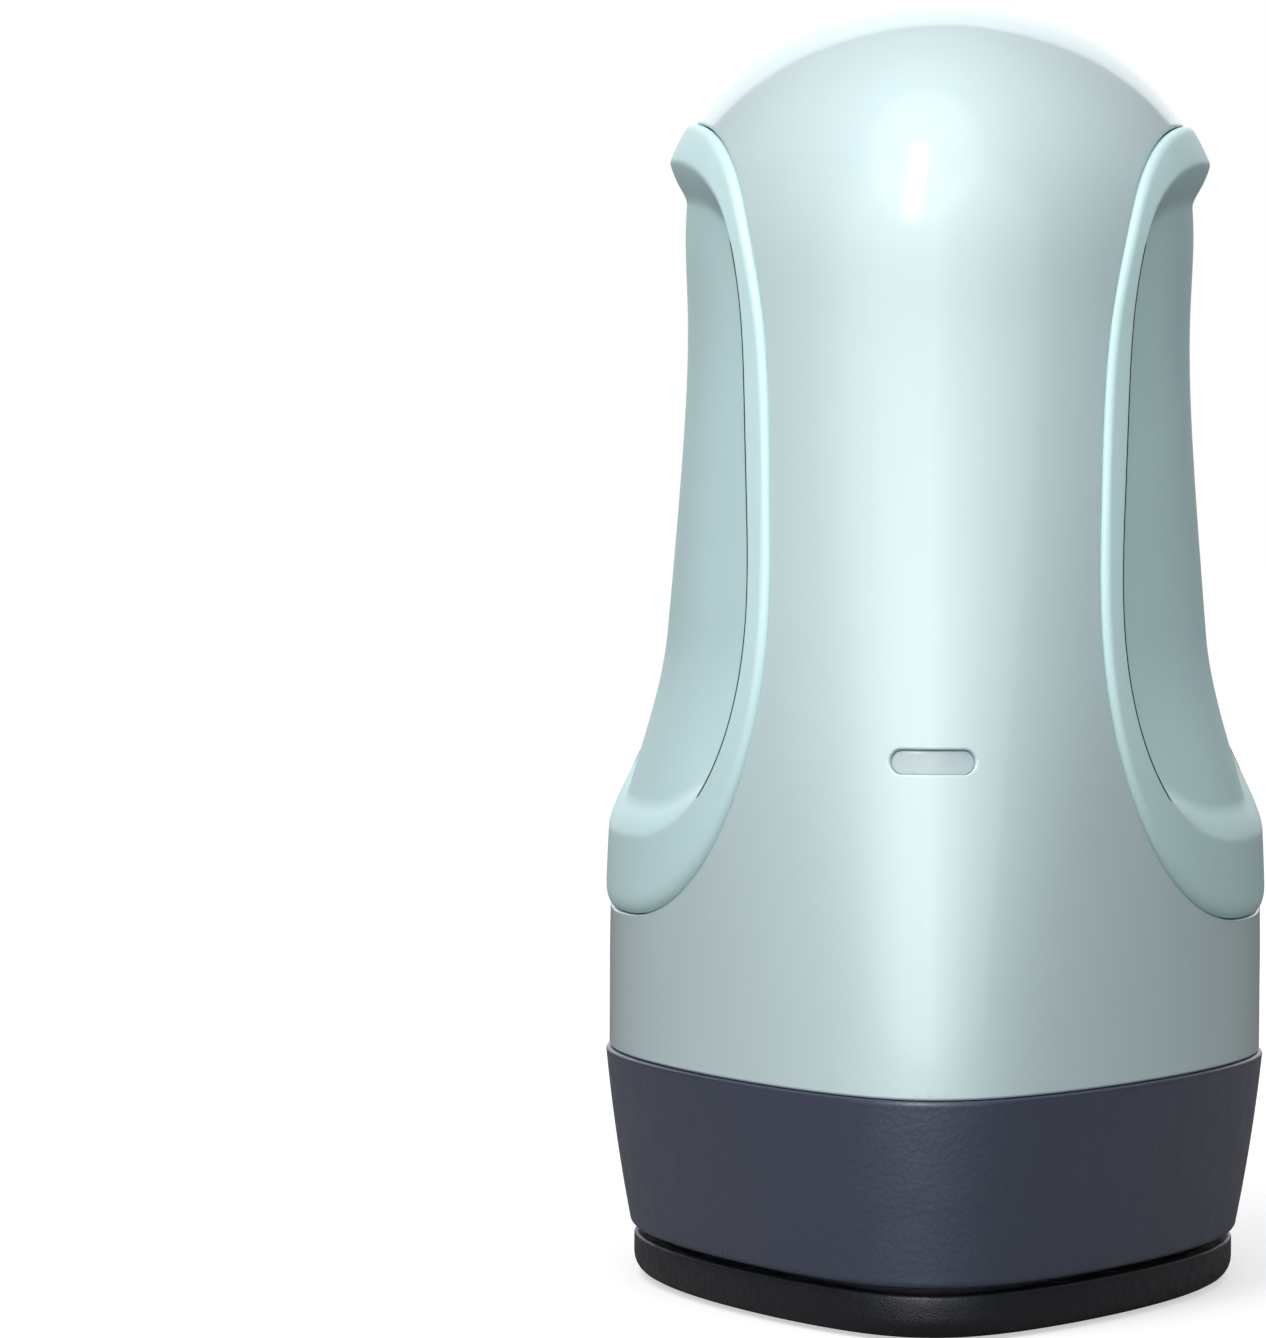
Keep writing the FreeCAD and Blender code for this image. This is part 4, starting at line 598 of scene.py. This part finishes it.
def slope(share):
    """Fall from 0 to 1 that starts with a short bend, runs straight and ends in a longer bend."""
    convex, concave = 0.14, 0.35
    whole = 1 - convex / 2 - concave / 2
    if share < convex:
        return share**2 / (2 * convex) / whole
    if share < 1 - concave:
        return (share - convex / 2) / whole
    return 1 - (1 - share) ** 2 / (2 * concave) / whole


def grip(side):
    """The pad of a grip, 1 for the right and -1 for the left, and a dark bead round its mouth that paints the shade
    along its inner edge.
    """
    gap = (GRIP_GAP, GRIP_GAP, GRIP_GAP)
    turns = even(lambda turn: rim_point(turn, gap), 0, 2 * math.pi, RING_POINTS + 1)[:-1]
    y0, z0 = oval(turns, gap)
    y1, z1 = oval(turns, MOUTH_INSET, MOUTH_POWERS)
    # distances over the surface from the rim to the mouth and from there to the middle
    start = np.linalg.norm(on_body(y1, z1) - on_body(y0, z0), axis=-1)
    reach = np.hypot(y1 - RIM_CENTRE[0], z1 - RIM_CENTRE[1])
    stretch = start / np.hypot(y1 - y0, z1 - z0)
    # the fall is gentle at the top and the foot, and steep at the sides
    up = (z0 - RIM_CENTRE[1]) / RIM_HALF[1]
    top, foot = ease((up - SOFT_FROM) / SOFT_OVER), ease((-up - SOFT_FROM) / SOFT_OVER)
    soft = top + foot
    edge_in = FLANGE_EDGE + FLANGE_FOOT_EDGE * foot
    run = mix(MOUTH_LIP + MOUTH_HEEL, SOFT_TOP_RUN * top + SOFT_FOOT_RUN * foot, soft)

    def ring(inward, height):
        """Points at a distance in from the rim. height gives their height above the housing's form from their z."""
        past = np.maximum(inward - start, 0) / stretch
        share, far = np.minimum(inward / start, 1), past / reach
        y = mix(mix(y0, y1, share), RIM_CENTRE[0], far)
        z = mix(mix(z0, z1, share), RIM_CENTRE[1], far)
        return on_body(y, z, height(z))

    pad = [ring(0.0, lambda z: -GRIP_EDGE)]
    for angle in (0, *ROUNDING):
        drop = FLANGE_DROP * (1 - math.sin(angle))
        pad.append(ring(edge_in * (1 - math.cos(angle)), lambda z: FLANGE_HEIGHT - drop))
    for share in np.linspace(0, 1, FLANGE_STEPS)[1:]:
        pad.append(ring(mix(edge_in, start, share), lambda z: FLANGE_HEIGHT))
    for k in range(1, 2 * FALL_STEPS + 1):
        convex = k <= FALL_STEPS
        angle = math.pi / 2 * (k if convex else k - FALL_STEPS) / FALL_STEPS
        steep_in = MOUTH_LIP * math.sin(angle) if convex else MOUTH_LIP + MOUTH_HEEL * (1 - math.cos(angle))
        fallen = k / (2 * FALL_STEPS)

        def height(z):
            depth = FLANGE_HEIGHT + scoop(z)
            share = np.minimum(1, 0.95 * depth / (MOUTH_LIP + MOUTH_HEEL))
            if convex:
                steep = FLANGE_HEIGHT - MOUTH_LIP * share * (1 - math.cos(angle))
            else:
                steep = MOUTH_HEEL * share * (1 - math.sin(angle)) - scoop(z)
            return mix(steep, FLANGE_HEIGHT - depth * slope(fallen), soft)

        pad.append(ring(start + mix(steep_in, run * fallen, soft), height))
    full = start + reach * stretch
    for share in np.linspace(0, 1, FLOOR_STEPS)[1:]:
        pad.append(ring(mix(start + run, full * 0.9985, share), lambda z: -scoop(z)))
    # painted shade: this dark bead, made as the object named joint, darkens the mouth's inner edge where there is only
    # shade
    sink = PAINTED_SHADE_SINK * (ease((top - 0.2) / 0.35) + ease((foot - 0.7) / 0.25))
    joint = [ring(start - back, lambda z: FLANGE_HEIGHT - low - sink) for back, low in PAINTED_SHADE_BEAD]
    made = []
    for name, rings in (("pad", pad), ("joint", joint)):
        sheets = Sheets()
        sheets.add(np.stack(rings), closed=True)
        if side < 0:
            sheets.reflect()
        made.append(sheets.make("grip_" + ("right_" if side > 0 else "left_") + name))
    return made


# ------------------------------------------------------------------ collar and stand
def ring_of(z, half_width, half_length, middle_y=0.0):
    u = np.linspace(0, 2 * math.pi, RING_POINTS + 1)[:-1]
    x, y = plan(u, half_width, half_length, 0.0, middle_y)
    return np.stack([x, y, np.full_like(x, z)], axis=-1)


def rings_of(stations, half):
    """Rings at heights, each drawn in from the outline by its inset."""
    return [ring_of(z, half[0] - inset, half[1] - inset) for z, inset in stations]


def collar_inset(z):
    """How far the collar's outside is drawn in at a height."""
    depth = COLLAR_TOP - z
    return COLLAR_TAPER * depth + COLLAR_BEND * depth * depth


def collar():
    # the upper edge, the outside, the rounded foot, the inside and the ledge
    edge = ((0, COLLAR_WALL), (0, 0.42), (0.02, 0.3), (0.08, 0.17), (0.18, 0.07), (0.33, 0.02))
    stations = [(COLLAR_TOP - fall, inset) for fall, inset in edge]
    foot = COLLAR_LOW + COLLAR_FOOT_RADIUS
    stations += [(z, collar_inset(z)) for z in np.linspace(COLLAR_TOP - 0.55, foot, 34)]
    for angle in ROUNDING:
        z = COLLAR_LOW + COLLAR_FOOT_RADIUS * (1 - math.sin(angle))
        stations.append((z, collar_inset(foot) + COLLAR_FOOT_RADIUS * (1 - math.cos(angle))))
    inner = collar_inset(COLLAR_LOW) + COLLAR_WALL
    stations += [(COLLAR_LOW, inner - 0.3), (COLLAR_LOW + 0.09, inner - 0.09), (COLLAR_LOW + 0.3, inner)]
    stations += [(z, collar_inset(z) + COLLAR_WALL) for z in np.linspace(COLLAR_LOW + 1, LEDGE_LOW - 0.4, 10)]
    shoulder = collar_inset(LEDGE_LOW) + COLLAR_WALL
    stations += [(LEDGE_LOW - 0.12, shoulder + 0.1), (LEDGE_LOW, shoulder + 0.4)]
    rings = rings_of(stations, COLLAR_HALF)
    outer = [half - shoulder - 0.4 for half in COLLAR_HALF]
    hole = [half + 0.15 for half in LEDGE_HOLE_HALF]
    for share in np.linspace(0, 1, 9)[1:]:
        width, length = (mix(far, near, share) for far, near in zip(outer, hole))
        rings.append(ring_of(LEDGE_LOW, width, length, LEDGE_HOLE_Y * share))
    for z, grow in ((LEDGE_LOW + 0.04, 0.04), (LEDGE_LOW + 0.15, 0.0), (LEDGE_TOP, 0.0)):
        rings.append(ring_of(z, LEDGE_HOLE_HALF[0] + grow, LEDGE_HOLE_HALF[1] + grow, LEDGE_HOLE_Y))
    sheets = Sheets()
    sheets.add(np.stack(rings), closed=True)
    return sheets.make("collar_body")


def tray():
    # the underside and its bevel, the rounded foot, the rim and the recess for the liner
    low = [(0.15, 6.0), (0.15, 4.6), (0.1, 4.5), (0.03, 4.4), (0.0, 4.25), (0.0, TRAY_RIM)]
    low += [(TRAY_FOOT_RISE * (1 - math.cos(angle)), TRAY_RIM * (1 - math.sin(angle))) for angle in ROUNDING]
    rim = ((1.1, 0.0), (0.35, 0.0), (0.2, 0.04), (0.08, 0.14), (0.0, 0.33), (0.0, 1.3), (0.05, 1.5), (0.2, TRAY_RIM))
    recess = ((0.35, TRAY_RIM), (0.1, 1.65), (0.0, 1.8), (0.0, 4.0))
    stations = [(TRAY_LOW + rise, inset) for rise, inset in low]
    stations += [(TRAY_TOP - fall, inset) for fall, inset in rim]
    stations += [(LINER_LOW + rise, inset) for rise, inset in recess]
    # both ends close in on the middle
    first, last = (ring_of(z, 1e-4, 1e-4) for z in (TRAY_LOW + 0.15, LINER_LOW))
    sheets = Sheets()
    sheets.add(np.stack([first, *rings_of(stations, TRAY_HALF), last]), closed=True, flip=True)
    return sheets.make("tray_body")


# ------------------------------------------------------------------ indicator
def lens():
    turns = np.linspace(0, 1, 61)
    rings = []
    for grow, height in ((-0.05, -2.0), (-0.05, -0.5), (-0.08, -0.43), (-0.16, -LENS_SUNK)):
        x, z = pill(turns, grow)
        rings.append(near_middle(x, LENS_Z + z, height))
    for share in (0.25, 0.5, 0.75, 1.0):
        rings.append(near_middle(mix(x, x * 0.6, share), LENS_Z + z * (1 - share), -LENS_SUNK))
    sheets = Sheets()
    sheets.add(np.stack(rings))
    sheets.mirror()
    return sheets.make("indicator_window")


# ------------------------------------------------------------------ finishes
def node(tree, kind, **settings):
    """A new node. Settings that begin with in_ go to its inputs."""
    made = tree.nodes.new(kind)
    for key, value in settings.items():
        if key.startswith("in_"):
            made.inputs[key[3:].replace("_", " ")].default_value = value
        else:
            setattr(made, key, value)
    return made


def scaled_texture(tree, place, scale, stretch, kind, **settings):
    """A texture whose scale counts features per metre."""
    spread = node(tree, "ShaderNodeMapping", in_Scale=tuple(scale * s for s in stretch))
    made = node(tree, kind, in_Scale=1.0, **settings)
    tree.links.new(place, spread.inputs["Vector"])
    tree.links.new(spread.outputs["Vector"], made.inputs["Vector"])
    return made


def noise(tree, place, scale, detail, rough=0.5, stretch=(1, 1, 1)):
    """Noise from 0 to 1."""
    made = scaled_texture(tree, place, scale, stretch, "ShaderNodeTexNoise", in_Detail=detail, in_Roughness=rough)
    return made.outputs["Fac"]


def cells(tree, place, scale, stretch):
    made = scaled_texture(tree, place, scale, stretch, "ShaderNodeTexVoronoi", feature="F1")
    return made.outputs["Distance"]


def blend(tree, value, low, high, start, stop):
    """value taken from start..stop to low..high."""
    made = node(tree, "ShaderNodeMapRange")
    for key, number in (("From Min", start), ("From Max", stop), ("To Min", low), ("To Max", high)):
        made.inputs[key].default_value = number
    tree.links.new(value, made.inputs["Value"])
    return made.outputs["Result"]


def blend_colour(tree, value, first, second, start, stop):
    made = node(tree, "ShaderNodeValToRGB")
    ends = made.color_ramp.elements
    ends[0].position, ends[1].position = start, stop
    ends[0].color, ends[1].color = (*first, 1), (*second, 1)
    tree.links.new(value, made.inputs["Fac"])
    return made.outputs["Color"]


def add(tree, first, second, weight):
    """first plus the weighted second."""
    made = node(tree, "ShaderNodeMath", operation="MULTIPLY_ADD")
    tree.links.new(second, made.inputs[0])
    made.inputs[1].default_value = weight
    tree.links.new(first, made.inputs[2])
    return made.outputs["Value"]


def grown(colour, factor):
    return tuple(min(1.0, c * factor) for c in colour)


FINISHES = {}


def finish(name, colour, roughness, grain, waves=None, tint=0.04, tint_scale=60, rough_spread=0.04,
           stretch=(1, 1, 1), cell_grain=None, worn=0.0, second=None, speckle=0.35, **sockets):
    """A finish with uneven colour and gloss and a relief. grain and waves give features per metre and depth in
    metres. cell_grain adds pits or beads. worn lightens the edges. speckle is the grain's share in the colour.
    sockets are set on the shader itself."""
    material = FINISHES[name] = bpy.data.materials.new("finish_" + name)
    material.use_nodes = True
    tree = material.node_tree
    shader = tree.nodes["Principled BSDF"]
    place = node(tree, "ShaderNodeTexCoord").outputs["Object"]
    broad = noise(tree, place, tint_scale, 3.0, 0.6, stretch)
    fine = noise(tree, place, grain[0], 2.0, 0.55, stretch)
    other = second or grown(colour, 1 - 2 * tint)
    low, high = 0.3 * (1 + speckle) + 0.04, 0.7 * (1 + speckle) - 0.05
    patch = blend_colour(tree, add(tree, broad, fine, speckle), other, grown(colour, 1 + tint), low, high)
    if worn:
        edge = node(tree, "ShaderNodeNewGeometry").outputs["Pointiness"]
        spot = blend(tree, edge, 0.0, worn, 0.52, 0.6)
        mixed = node(tree, "ShaderNodeMix", data_type="RGBA")
        mixed.inputs[7].default_value = (*grown(colour, 2.2), 1)
        tree.links.new(spot, mixed.inputs[0])
        tree.links.new(patch, mixed.inputs[6])
        patch = mixed.outputs[2]
    tree.links.new(patch, shader.inputs["Base Color"])
    gloss = blend(tree, add(tree, broad, fine, 0.5), roughness - rough_spread, roughness + rough_spread, 0.5, 1.0)
    tree.links.new(gloss, shader.inputs["Roughness"])
    relief = fine
    if cell_grain:
        relief = add(tree, fine, cells(tree, place, cell_grain[0], stretch), cell_grain[1])
    bump = node(tree, "ShaderNodeBump", in_Strength=1.0, in_Distance=grain[1])
    tree.links.new(relief, bump.inputs["Height"])
    if waves:
        sag = node(tree, "ShaderNodeBump", in_Strength=1.0, in_Distance=waves[1])
        tree.links.new(noise(tree, place, waves[0], 1.0), sag.inputs["Height"])
        tree.links.new(sag.outputs["Normal"], bump.inputs["Normal"])
    tree.links.new(bump.outputs["Normal"], shader.inputs["Normal"])
    for key, value in sockets.items():
        shader.inputs[key.replace("_", " ")].default_value = value
    return material


LONG_X, LONG_Y = (0.06, 1, 1), (1, 0.06, 1)
MINT = (0.642, 0.788, 0.799)
SLATE = (0.055, 0.0715, 0.129)
finish("mint_gloss", MINT, 0.5, (5200, 1.0e-6), (140, 4e-6), 0.012, 35, 0.03, Specular_IOR_Level=0.5, Coat_Weight=0.9,
       Coat_Roughness=0.11)
finish("mint_satin", (0.69, 0.925, 0.93), 0.43, (4200, 4e-6), (160, 6e-6), 0.015, 40, 0.05, Specular_IOR_Level=0.6)
finish("collar_plastic", SLATE, 0.42, (1900, 3.5e-5), tint=0.17, tint_scale=300, rough_spread=0.06,
       cell_grain=(2200, 0.8), speckle=2.5, Specular_IOR_Level=1.0, Coat_Weight=0.45, Coat_Roughness=0.36)
finish("stand_plastic", (0.005, 0.0055, 0.0085), 0.4, (3400, 3.5e-5), tint=0.25, tint_scale=900, rough_spread=0.12,
       cell_grain=(5200, 0.6), speckle=1.5, Specular_IOR_Level=0.6)
finish("silicone_liner", (0.10, 0.105, 0.115), 0.62, (3000, 6e-6), (90, 2e-5), 0.08, 90, 0.06,
       Specular_IOR_Level=0.35)
finish("foot_rubber", (0.03, 0.03, 0.032), 0.75, (2600, 1.2e-5), tint=0.15, tint_scale=300)
finish("plate_metal", (0.30, 0.31, 0.33), 0.34, (4200, 7e-6), (70, 1.5e-5), 0.05, 55, 0.07, cell_grain=(2600, 0.25),
       Metallic=0.55, Coat_Weight=0.25, Coat_Roughness=0.25)
finish("element_steel", (0.42, 0.41, 0.40), 0.38, (2400, 6e-6), tint=0.12, tint_scale=180, rough_spread=0.1,
       stretch=LONG_Y, Metallic=1.0)
finish("ceramic_white", (0.85, 0.84, 0.80), 0.6, (2600, 9e-6), tint=0.04, tint_scale=260)
finish("tab_brass", (0.75, 0.62, 0.35), 0.32, (2600, 4e-6), tint=0.06, tint_scale=220, stretch=LONG_Y, Metallic=1.0)
finish("probe_glass", (0.75, 0.55, 0.35), 0.14, (1800, 4e-6), tint=0.08, tint_scale=400, Transmission_Weight=0.6,
       IOR=1.5)
finish("fuse_can", (0.75, 0.75, 0.76), 0.3, (3000, 3e-6), tint=0.04, tint_scale=300, stretch=LONG_Y, Metallic=1.0)
finish("clip_steel", (0.62, 0.62, 0.63), 0.3, (2800, 4e-6), tint=0.06, tint_scale=240, stretch=LONG_X, Metallic=1.0)
finish("bushing_ceramic", (0.88, 0.87, 0.83), 0.58, (2400, 8e-6), tint=0.04, tint_scale=240)
finish("screw_steel", (0.60, 0.60, 0.62), 0.28, (3400, 4e-6), tint=0.07, tint_scale=420, rough_spread=0.08,
       Metallic=1.0)
finish("insulation_fibre", (0.88, 0.87, 0.82), 0.92, (1500, 1.2e-4), tint=0.05, tint_scale=300, stretch=(1, 0.35, 1))
finish("shield_steel", (0.72, 0.73, 0.74), 0.3, (2200, 4e-6), (60, 3e-5), 0.04, 120, 0.06, stretch=LONG_Y,
       Metallic=1.0)
finish("deck_plastic", (0.12, 0.125, 0.13), 0.5, (3000, 1e-5), tint=0.07, tint_scale=200)
# this dark rubber also colours the painted-shade beads round the grips' mouths
finish("seal_rubber", (0.02, 0.022, 0.026), 0.7, (3000, 6e-6), tint=0.1, tint_scale=300)
finish("lens_clear", (0.46, 0.56, 0.585), 0.3, (3600, 2e-6), tint=0.03, tint_scale=350, rough_spread=0.05,
       Coat_Weight=0.7, Coat_Roughness=0.08)
finish("led_body", (0.85, 0.86, 0.84), 0.2, (2600, 3e-6), tint=0.03, tint_scale=400, Subsurface_Weight=0.2)
finish("board_green", (0.03, 0.16, 0.07), 0.3, (1900, 8e-6), tint=0.2, tint_scale=700, second=(0.045, 0.21, 0.10),
       stretch=(1, 1, 0.25))
finish("button_plastic", SLATE, 0.42, (3600, 9e-6), tint=0.05, tint_scale=300, worn=0.2)
finish("gland_rubber", (0.040, 0.044, 0.055), 0.6, (3000, 9e-6), tint=0.08, tint_scale=260)
finish("clamp_plastic", (0.16, 0.165, 0.17), 0.55, (2600, 1.2e-5), tint=0.1, tint_scale=500, stretch=(1, 0.3, 1))
finish("switch_body", (0.03, 0.03, 0.033), 0.45, (3400, 5e-6), tint=0.1, tint_scale=500)
finish("relay_case", (0.03, 0.10, 0.32), 0.38, (3200, 4e-6), tint=0.06, tint_scale=260)
finish("capacitor_sleeve", (0.05, 0.06, 0.10), 0.22, (2200, 8e-6), tint=0.1, tint_scale=260, stretch=LONG_Y)
finish("film_case", (0.75, 0.55, 0.10), 0.25, (3000, 4e-6), tint=0.05, tint_scale=260)
finish("chip_body", (0.02, 0.02, 0.022), 0.55, (4200, 6e-6), tint=0.12, tint_scale=900)
finish("terminal_plastic", (0.05, 0.30, 0.12), 0.45, (3000, 6e-6), tint=0.07, tint_scale=240)
finish("fuse_glass", (0.80, 0.84, 0.85), 0.06, (1600, 2e-6), tint=0.03, tint_scale=300, rough_spread=0.02,
       Transmission_Weight=0.75, IOR=1.5)
finish("connector_plastic", (0.82, 0.81, 0.76), 0.42, (3000, 5e-6), tint=0.03, tint_scale=240)
finish("lead_fibreglass", (0.80, 0.78, 0.70), 0.8, (2600, 6e-5), tint=0.1, tint_scale=900, cell_grain=(2400, 0.8))
finish("lead_white", (0.85, 0.85, 0.85), 0.42, (2600, 4e-6), tint=0.03, tint_scale=300)
finish("lead_red", (0.55, 0.04, 0.03), 0.42, (2600, 4e-6), tint=0.06, tint_scale=300)

# ------------------------------------------------------------------ pieces
right_pad, right_painted_shade = grip(1)
left_pad, left_painted_shade = grip(-1)
BUILD = [
    (front_shell(), "press", "front_shell", "mint_gloss"),
    (rear_shell(), "press", "rear_shell", "mint_gloss"),
    (right_pad, "press", "right_grip", "mint_satin"),
    (left_pad, "press", "left_grip", "mint_satin"),
    (collar(), "press", "collar", "collar_plastic"),
    (tray(), "safety_base", "base_tray", "stand_plastic"),
    (lens(), "press", "indicator_lens", "lens_clear"),
]
for piece, rides, node_name, slot in BUILD:
    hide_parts(node_name)
    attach(piece, rides)
    piece.data.materials.append(FINISHES[slot])
# the dark beads are painted shade round the grips' mouths, in the dark rubber finish
for piece in (right_painted_shade, left_painted_shade):
    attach(piece, "press")
    piece.data.materials.append(FINISHES["seal_rubber"])
for thing in frame["nodes"].values():
    for holder in thing.material_slots:
        holder.material = FINISHES[holder.material.name]


# ------------------------------------------------------------------ floor and light
def choose(tree, unseen, seen, target):
    """Gives target one shader for the camera's own rays, and another for all the others. Returns the choice."""
    ray = node(tree, "ShaderNodeLightPath").outputs["Is Camera Ray"]
    either = node(tree, "ShaderNodeMixShader")
    tree.links.new(ray, either.inputs[0])
    tree.links.new(unseen.outputs[0], either.inputs[1])
    tree.links.new(seen.outputs[0], either.inputs[2])
    tree.links.new(either.outputs[0], target.inputs["Surface"])
    return ray


FLOOR_HALF = 3  # metres, as all lengths from here on
PAPER_GLOW, ROOM_GLOW = 0.55, 0.03
BOUNCE_COLOUR = (0.2, 0.2, 0.205, 1)
floor_mesh = bpy.data.meshes.new("floor")
floor_corners = [(x * FLOOR_HALF, y * FLOOR_HALF, 0) for x, y in ((-1, -1), (1, -1), (1, 1), (-1, 1))]
floor_mesh.from_pydata(floor_corners, [], [(0, 1, 2, 3)])
floor = bpy.data.objects.new("floor", floor_mesh)
bpy.context.collection.objects.link(floor)
paper = finish("floor_paper", (0.62, 0.62, 0.62), 0.8, (900, 1e-5), tint=0.005, tint_scale=4,
               Specular_IOR_Level=0.1, Emission_Color=(1, 1, 1, 1))
tree = paper.node_tree
shader = tree.nodes["Principled BSDF"]
bounce = node(tree, "ShaderNodeBsdfDiffuse", in_Color=BOUNCE_COLOUR)
ray = choose(tree, bounce, shader, tree.nodes["Material Output"])
tree.links.new(blend(tree, ray, 0.0, PAPER_GLOW, 0, 1), shader.inputs["Emission Strength"])
floor.data.materials.append(paper)

world = bpy.data.worlds.new("studio")
bpy.context.scene.world = world
world.use_nodes = True
tree = world.node_tree
room = tree.nodes["Background"]
room.inputs["Color"].default_value = (1, 1, 1, 1)
room.inputs["Strength"].default_value = ROOM_GLOW
backdrop = node(tree, "ShaderNodeBackground", in_Color=(1, 1, 1, 1), in_Strength=1.0)
choose(tree, room, backdrop, tree.nodes["World Output"])
bpy.context.scene.view_settings.view_transform = "Standard"


def lamp(name, kind, azimuth, elevation, distance, middle):
    """A light that shines on middle. Azimuth 0 is in front, and it grows to the object's right side."""
    data = bpy.data.lights.new(name, kind)
    made = bpy.data.objects.new(name, data)
    bpy.context.collection.objects.link(made)
    turn, rise = math.radians(azimuth), math.radians(elevation)
    away = Vector((math.sin(turn) * math.cos(rise), -math.cos(turn) * math.cos(rise), math.sin(rise)))
    made.location = Vector(middle) + distance * away
    made.rotation_euler = (-away).to_track_quat("-Z", "Y").to_euler()
    return data


# even light from wide parts of the room: azimuth, elevation and spread in degrees, strength and colour
SUNS = [
    ("front", -5, 4, 90, 0.58, (1.08, 0.99, 0.96)),
    ("front_right", 33, 12, 80, 0.97, (0.92, 1.03, 1.02)),
    ("front_left_near", -35, 12, 64, 0.52, (0.96, 1.01, 1.03)),
    ("front_left", -35, 12, 80, 0.52, (0.96, 1.01, 1.03)),
    ("front_left_wide", -35, 12, 96, 0.52, (0.96, 1.01, 1.03)),
    ("upper", -15, 60, 70, 1.05, (1.05, 1.0, 1.01)),
    ("back", 176, 58, 110, 0.50, (0.97, 1.0, 1.03)),
    ("back_low", 182, 16, 46, 0.55, (0.97, 1.0, 1.03)),
]
for name, azimuth, elevation, spread, strength, colour in SUNS:
    sun = lamp(name, "SUN", azimuth, elevation, 1.0, (0, 0, 0))
    sun.energy, sun.angle, sun.color = strength, math.radians(spread), colour
# a tall narrow window, which makes the highlight on the dome
key = lamp("key", "AREA", -21, 45, 0.7, (0, 0, 0.07))
key.shape, key.size, key.size_y, key.energy = "RECTANGLE", 0.16, 0.52, 1.2

# ------------------------------------------------------------------ camera
CAMERA_PLACE = (0.0039, -0.8125, 0.0892)
CAMERA_LEFT, CAMERA_DOWN, CAMERA_ROLL = 2.35, 2.05, 0.348  # degrees
SENSOR_WIDTH, FOCAL_LENGTH = 36, 225.07  # millimetres
camera_data = bpy.data.cameras.new("camera")
camera_data.sensor_width, camera_data.lens = SENSOR_WIDTH, FOCAL_LENGTH
camera_data.clip_start, camera_data.clip_end = 0.05, 10
camera = bpy.data.objects.new("camera", camera_data)
bpy.context.collection.objects.link(camera)
camera.location = CAMERA_PLACE
turn_left = Matrix.Rotation(math.radians(CAMERA_LEFT), 3, "Z")
look_down = Matrix.Rotation(math.radians(90 - CAMERA_DOWN), 3, "X")
roll = Matrix.Rotation(math.radians(CAMERA_ROLL), 3, "Z")
camera.rotation_euler = (turn_left @ look_down @ roll).to_euler()
bpy.context.scene.camera = camera
